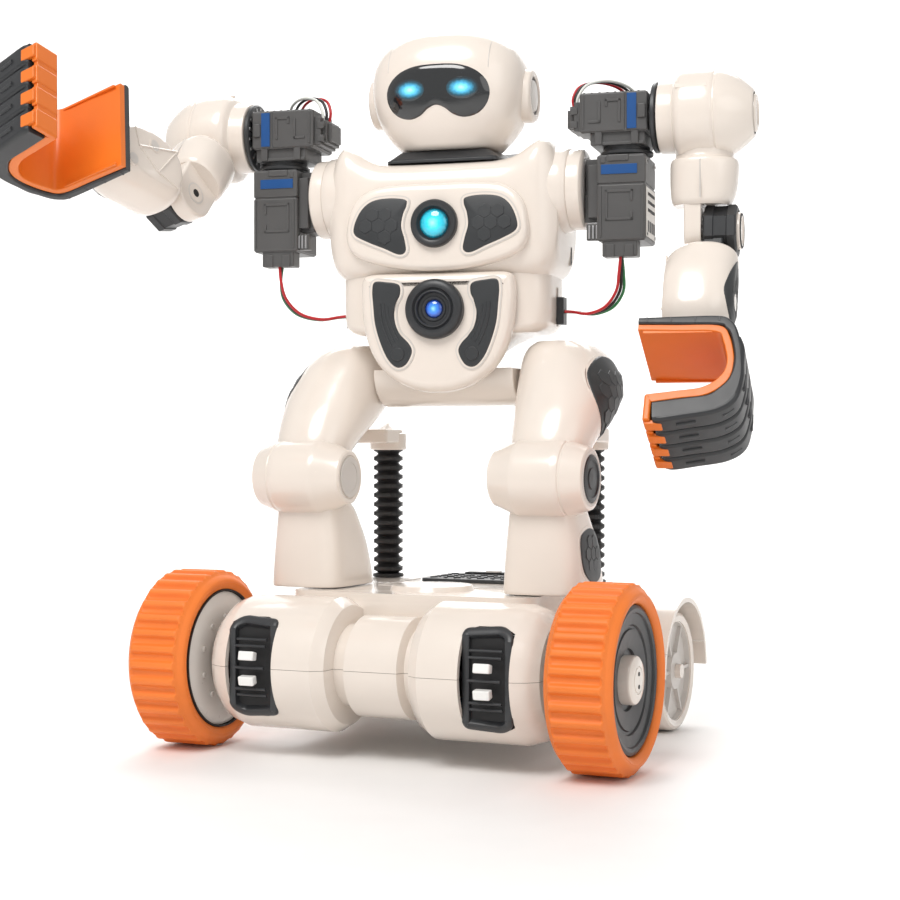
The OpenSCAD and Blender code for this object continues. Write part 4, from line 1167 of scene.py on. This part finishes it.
def wheel(s, name):
    place = world_side(s) @ at(WHEEL_X, DRIVE_Y, DRIVE_Z) @ ALONG_X
    half = [(29.2, 10.6), (30.6, 10.8), (31.6, 10.4), (32.6, 9.4), (33.2, 8.8), (34.2, 8.4), (34.9, 8),
            (35, 7.4), (35, 4)]
    tyre = [(27.5, -9.8)] + [(r, -z) for r, z in half] + [(35, 0)] + half[::-1] + [(28, 9.8), (27.5, 8.6)]
    beads = [(lathe([(29.4, z), (30, z + d), (30.6, z)], 120), TYRE) for z, d in ((12.3, 0.5), (-12.3, -0.5))]
    piece(f"{name}_tyre_moulded", [(lathe(widened(tyre), 18 * TYRE_RIBS, tread), TYRE)] + beads, place,
          f"{name}_wheel", [f"{name}_tyre"], 50)
    disc = [(0, -9.5), (7, -9.5), (7.2, -9), (12, -9), (12.4, -9.4), (13.6, -9.4), (14, -9), (21, -9),
            (21.4, -9.5), (22.4, -9.5), (22.8, -9), (25.6, -9), (27.4, -8.4), (27.5, -6), (27.5, 8),
            (27, 8.9), (25.8, 9.3), (24.4, 9), (24, 8.4), (20, 7.9), (19.6, 7.3), (18.6, 7.3), (18.2, 7.8),
            (13, 7.1), (11.4, 6.8), (11, 6), (9.4, 5.8), (0, 5.8)]
    pale = [(0, -9.4), (11.6, -9.4), (11.8, -10.2), (20.6, -10.2), (24.4, -9.9), (26.4, -9.3), (26.4, -8.6),
            (0, -8.6)]
    hub = [(0, -13.4), (5.6, -13.4), (6.6, -13), (7, -12.4), (7, -10), (0, -10)]
    parts = [(lathe(widened(disc), 120), DARK), (lathe(widened(pale), 120), PALE),
             (rod(2.4, AXLE_X - WHEEL_X, -8), MOTOR), (lathe(hub, 48), DARK)]
    rim = [(26.6, -12.2), (27.3, -12.2), (27.4, -11.6), (27.4, -9), (26.6, -9)]
    parts.append((lathe(rim, 120), GROOVE))
    for i in range(10):
        stud = lathe([(0, -12.7), (0.9, -12.7), (1.1, -12.4), (1.1, -11.6), (0, -11.6)], 16)
        parts.append((moved(stud, turn(36 * i + 18, "Z") @ at(16.4, 0, 0)), SHADE))
    piece(f"{name}_wheel_dished", parts, place, f"{name}_wheel", [f"{name}_wheel"], 30)
    cap = [(0, 6), (9, 6), (9, 10.6), (8.6, 11.4), (7.6, 12), (5.2, 12.25), (5, 11.9), (4.6, 11.9),
           (4.4, 12.3), (0, 12.4)]
    parts = [(lathe(cap, 72), CREAM)]
    for y in (-2.3, 2.3):
        parts.append((moved(rod(0.8, 12, 12.5, 20), at(0, y, 0)), GROOVE))
    piece(f"{name}_hub_cap_turned", parts, place, f"{name}_wheel", [f"{name}_hub_cap"], 30)


def roller(s, name):
    place = world_side(s) @ at(ROLLER_INNER, ROLLER_Y, ROLLER_R) @ ALONG_X
    r = ROLLER_R
    tyre = [(r - 4.2, 0.8), (r - 1.8, 0.2), (r - 0.7, 0.8), (r - 0.1, 2), (r, 3.4), (r, 6.3), (r - 0.5, 6.5),
            (r, 6.7), (r, 9.6), (r - 0.1, 11), (r - 0.7, 12.2), (r - 1.8, 12.8), (r - 4.2, 12.2)]
    disc = [(3.1, 0.4), (r - 4, 0.4), (r - 4, 11.6), (r - 4.6, 11.6), (r - 5, 9.6), (8, 9.2), (7.6, 11.8),
            (3.1, 12)]
    parts = [(lathe(tyre, 90), CREAM), (lathe(disc, 90), SHADE)]
    for i in range(6):
        rib = block(7.4, r - 4.2, -0.7, 0.7, 9, 11.2, 0.3)
        parts.append((moved(rib, turn(60 * i, "Z")), SHADE))
    piece(f"{name}_roller_ribbed", parts, place, f"{name}_roller", [f"{name}_roller"], 30)


# ---------- base ----------
BAR_R, LIGHT_X = 26, 48.5
DECK_Z = 62


def headlights():
    """Rounded dark rings wrapped round the front bar, with fins and a pair of white light guides."""
    def on_bar(x, z, up):
        angle = math.asin(max(-0.8, min(0.8, z / BAR_R)))
        return x, DRIVE_Y - (BAR_R + up) * math.cos(angle), DRIVE_Z + (BAR_R + up) * math.sin(angle)
    for s, name in SIDES:
        corners = [(-10.2, -18.2), (5.5, -19.3), (10.2, -16.4), (10.2, 16.4), (5.5, 19.3), (-10.2, 18.2)]
        outer = [(s * (LIGHT_X + x), z) for x, z in rounded(corners, 2.6)][::s]
        rings = []
        for d, up in ((0, -3), (0, 0.2), (0.4, 0.8), (1.1, 1.1), (2.2, 1.1), (2.9, 0.7), (3.1, 0),
                      (3.1, -2.4)):
            rings.append([on_bar(x, z, up) for x, z in inset(outer, d)])
        parts = [(rings_solid(rings), DARK)]
        floor_rings = [[on_bar(x, z, up) for x, z in inset(outer, 3)] for up in (-2.6, -1.4)]
        parts.append((rings_solid(floor_rings), GROOVE))
        for z in (-11, -8.5, 8.5, 11, 0):
            parts.append((tube([on_bar(s * (LIGHT_X + x), z, -0.9) for x in (-6.4, 0, 6.4)], 0.55, 8, 3),
                          DARK))
        piece(f"{name}_headlight_ring", parts, WORLD, "chassis",
              ["headlight_bezels"] if s > 0 else [], 30)
        guides = []
        for z in (-4.5, 4.5):
            guide = block(45.2, 51.8, -3, 0.6, z - 1.6, z + 1.6, 0.8)
            guides.append((bent(guide, lambda x, y, z: on_bar(s * x, z, -y - 0.6)), LAMP))
            for k in (-1.6, 1.6):
                line = block(48.4 + k - 0.12, 48.4 + k + 0.12, 2.6, 3.1, z - 1.2, z + 1.2, 0.05)
                guides.append((bent(line, lambda x, y, z: on_bar(s * x, z, y - 3.0)), PALE))
        piece(f"{name}_headlight_guides", guides, WORLD, "chassis",
              ["headlight_lenses"] if s > 0 else [], 40)


def base():
    moulded("base_upper_shell", CREAM, 1.1)
    moulded("base_lower_shell", CREAM, 0.9)
    parts = [(plate(rect(41.6, 35.6, 4, -2, 34), 1.6, 0.2, 0.5, DECK_Z), DARK)]
    for i in range(-3, 4):
        for j in range(-2, 3):
            if j == 2 and abs(i) < 3:
                continue
            place = at(-2 + 5.4 * i, 32.6 + 5.6 * j, DECK_Z + 1.5) @ turn(45 if (i + j) % 2 else -45, "Z")
            parts.append((moved(block(-1.6, 1.6, -0.45, 0.45, 0, 0.6, 0.25), place), DARK))
    lid = block(-14.6, 10.8, 46.2, 51.6, 63.3, 64.4, 0.3)
    latch = block(-5, 1.2, 47, 50.6, 64.2, 65, 0.35)
    parts += [(lid, GROOVE), (latch, SHADE)]
    piece("deck_plate_treaded", parts, WORLD, "chassis", ["deck_plate"], 30)
    headlights()


# ---------- legs ----------
KNEE_AT = (52, -30, 107)
HOSE_X, HOSE_Y, HOSE_RIBS, HOSE_PITCH = 47, 36, 14, 4.03
SHIN = [(62.4, 51, -17, 15.4, 19.4, 5), (63.4, 51, -17, 16, 20, 5), (70, 51, -17.6, 15.8, 19, 5),
        (80, 51, -19, 15.2, 17.2, 4.6), (89, 51, -21.4, 14.2, 14.8, 4.2), (94, 51, -23, 13.5, 13, 4),
        (96, 51, -23.4, 12.6, 12, 3.6)]
THIGH = [(111, 52, -27, 12, 9, 2.2), (114, 52, -25.4, 14, 11.6, 2.3), (122, 52, -19.4, 16.2, 16.4, 2.3),
         (132, 52, -8.4, 18.4, 22.6, 2.3), (140, 51.4, -1, 19.6, 24.4, 2.3), (147, 50.2, 3, 19.4, 23.4, 2.2),
         (154, 48.4, 5, 17.4, 20, 2.2), (159, 46.8, 5.4, 14, 15.6, 2.1), (161.6, 46, 5.4, 10, 11, 2)]
KNEE = [(0, -19.6), (8.6, -19.6), (9, -20), (10.2, -20), (11, -19.4), (11.4, -18), (13.4, -13.4), (15, -9.8),
        (15.4, -8.8), (15.5, -7), (15.5, 0), (15.5, 7), (15.3, 8.8), (14.9, 10), (14.4, 10.3), (14.4, 10.9),
        (14.6, 11.2), (13.8, 13.6), (12.6, 17), (12, 18.6), (11.2, 19), (10, 18.9), (0, 18.8)]
THIGH_INLAY = [(-17.5, 136), (-14, 148), (-2, 155), (10, 153), (16.5, 142), (13.5, 127), (3, 118.5),
               (-10, 121.5)]
SHIN_INLAY = [(-27, 85), (-16, 87.6), (-8, 84), (-6.4, 75), (-10, 67.6), (-19, 66.8), (-26.4, 71),
              (-28.6, 78)]


def legs():
    barrel, shins, thighs, inlays_made = [], [], [], []
    for s in (1, -1):
        m = mirror(s)
        knee = outward(s, *KNEE_AT)
        barrel.append(turned(KNEE, 88, knee, CREAM))
        ring = lathe([(9.2, 18.6), (10.6, 18.6), (10.8, 19), (10.2, 19.4), (9.4, 19.2)], 64)
        cap = lathe([(0, 18.4), (9.3, 18.4), (9.3, 18.9), (8.7, 19.5), (7.4, 19.7), (7, 19.2), (4.2, 19.2),
                     (4, 19.6), (0, 19.7)], 64)
        dish = lathe([(0, -20), (6, -20), (6, -20.2), (8.2, -20.3), (8.2, -19.4), (0, -19.4)], 56)
        barrel += [(moved(ring, knee), SHADE), (moved(cap, knee), DARK), (moved(dish, knee), SHADE)]
        shins.append((moved(loft(SHIN, 96, 4), m), CREAM))
        thighs.append((moved(loft(THIGH, 96, 5), m), CREAM))
        post = lathe([(0, 118), (7.4, 118), (8, 118.6), (8, 125), (0, 130)], 48)
        thighs.append((moved(post, m @ at(HOSE_X, HOSE_Y, 0)), CREAM))
        thighs.append((moved(block(40, 55.6, 20, 37, 121, 127, 1.6), m), CREAM))
        for outline, sections, limit, size in ((THIGH_INLAY, THIGH, 73.2, 3.4),
                                               (SHIN_INLAY, SHIN, 67.6, 3.0)):
            curve = spline(outline, 5)
            if sum(a[0] * b[1] - a[1] * b[0] for a, b in zip(curve, curve[1:] + curve[:1])) < 0:
                curve.reverse()
            onto = onto_skin(sections, 0.985, limit)
            inlays_made += [(moved(solid, m), material) for solid, material in textured(curve, size, onto)]
            rim = [[onto(y, z, up - 0.6) for y, z in inset(curve, d)]
                   for d, up in ((-1.3, 0), (-1.2, 0.9), (-0.6, 1.0))]
            target = thighs if sections is THIGH else shins
            target.append((moved(rings_solid(rim), m), CREAM))
    piece("knee_barrels", barrel, WORLD, "chassis", ["knees"], 34)
    piece("shins_moulded", shins, WORLD, "chassis", ["shins"], 40)
    piece("thighs_moulded", thighs, WORLD, "chassis", ["thighs"], 40)
    piece("leg_inlays_textured", inlays_made, WORLD, "chassis", ["leg_inlays"], 30)
    hoses = []
    profile = [(0, 62.2), (6.6, 62.2), (6.8, 62.8), (6.6, 63.6)]
    for i in range(HOSE_RIBS):
        z = 64 + i * HOSE_PITCH
        profile += [(4.6, z), (5.0, z + 0.4), (6.1, z + 1.1), (6.35, z + 1.9), (6.1, z + 2.7), (5.0, z + 3.4)]
    profile += [(4.6, 120.4), (0, 120.4)]
    for s in (1, -1):
        foot = at(s * HOSE_X, HOSE_Y, 0)
        hoses.append(turned(profile, 56, foot, HOSE))
        for k in range(4):
            for i in range(HOSE_RIBS):
                stud = block(-1.1, 1.1, 5.6, 6.5, 65 + i * HOSE_PITCH, 66.8 + i * HOSE_PITCH, 0.35)
                hoses.append((moved(stud, foot @ turn(45 + 90 * k, "Z")), HOSE))
    piece("leg_hoses_corrugated", hoses, WORLD, "chassis", ["leg_hoses"], 40)
    moulded("pelvis", CREAM, 0.8)


for side_sign, side_name in SIDES:
    wheel(side_sign, side_name)
    roller(side_sign, side_name)
base()
legs()


# ---------- inside the shells ----------
def main_board():
    parts = [(block(-32, 46, 8, 9.6, 192, 223, 0.3), BOARD)]
    for x, z, w, h, up in ((-6, 196, 12, 14, 8), (-26, 208, 10, 10, 1.4), (12, 206, 12, 12, 1.2),
                           (28, 210, 6, 8, 1.6), (-24, 196, 12, 5, 3.2), (14, 195, 14, 6, 4.0)):
        parts.append((block(x, x + w, 9.2, 9.5 + up, z, z + h, 0.4), DARK))
        for k in range(5):
            pin = x + 0.8 + (w - 2.1) * k / 4
            parts.append((block(pin, pin + 0.5, 9.4, 10.2, z - 0.9, z + h + 0.9, 0.1), MOTOR))
    parts.append((block(38.8, 47.2, 9.4, 12.6, 193.2, 201.8, 0.9), MOTOR))
    piece("main_board_fitted", parts, TORSO, "torso", ["main_board"], 35)


def dress(node, material):
    """Give the CAD node's own mesh its material."""
    for slot in frame["nodes"][node].material_slots:
        slot.material = material


def torso_back():
    """Screws, seam lines, a grille and the switch's seat behind the torso; screws and seams on the deck."""
    parts = []
    for s in (1, -1):
        for z in (194, 226):
            well = [(0, -1), (2.7, -1), (2.7, 0.1), (2.2, 0.25), (2.0, -0.1), (0, -0.1)]
            place = at(s * 31, 25.9, z) @ FACE_BACK
            parts += [turned(well, 32, place, SHADE), (moved(rod(1.7, -1, 0, 24), place), GROOVE)]
        parts.append((tube([(s * 16, 26.05, z) for z in (189, 200, 212, 222)], 0.25, 6, 2), SHADE))
    parts.append((tube([(x, 26.05, 222) for x in (-16, -5, 5, 16)], 0.25, 6, 2), SHADE))
    for i in range(7):
        parts.append((block(-6, 6, 25.6, 26.15, 206.4 + 1.9 * i, 207.2 + 1.9 * i, 0.2), GROOVE))
    seat = rect(7.4, 11.4, 1.2, 0, 203)
    steps = ((0, 25.2), (0, 26.0), (0.4, 26.25), (1.0, 26.2))
    parts.append((rings_solid([[(x, y, z) for x, z in inset(seat, d)] for d, y in steps]), SHADE))
    piece("torso_rear_details", parts, TORSO, "torso")
    deck = []
    for s in (1, -1):
        for y in (5, 26):
            place = at(s * 34, y, 61.9)
            well = [(0, -1), (2.5, -1), (2.5, 0.1), (2.1, 0.25), (1.8, 0), (0, 0)]
            deck += [turned(well, 32, place, SHADE), (moved(rod(1.3, -1, 0.12, 20), place), GROOVE)]
        deck.append((tube([(s * 30, y, 62.0) for y in (-8, 6, 20, 33)], 0.25, 6, 2), SHADE))
    deck.append((tube([(x, -8, 62.0) for x in (-30, -10, 10, 30)], 0.25, 6, 2), SHADE))
    piece("deck_details", deck, WORLD, "chassis")


torso_back()
main_board()
dress("battery_pack", WRAP)
dress("drive_motors", MOTOR)
dress("wire_sockets", DARK)
dress("power_switch", DARK)
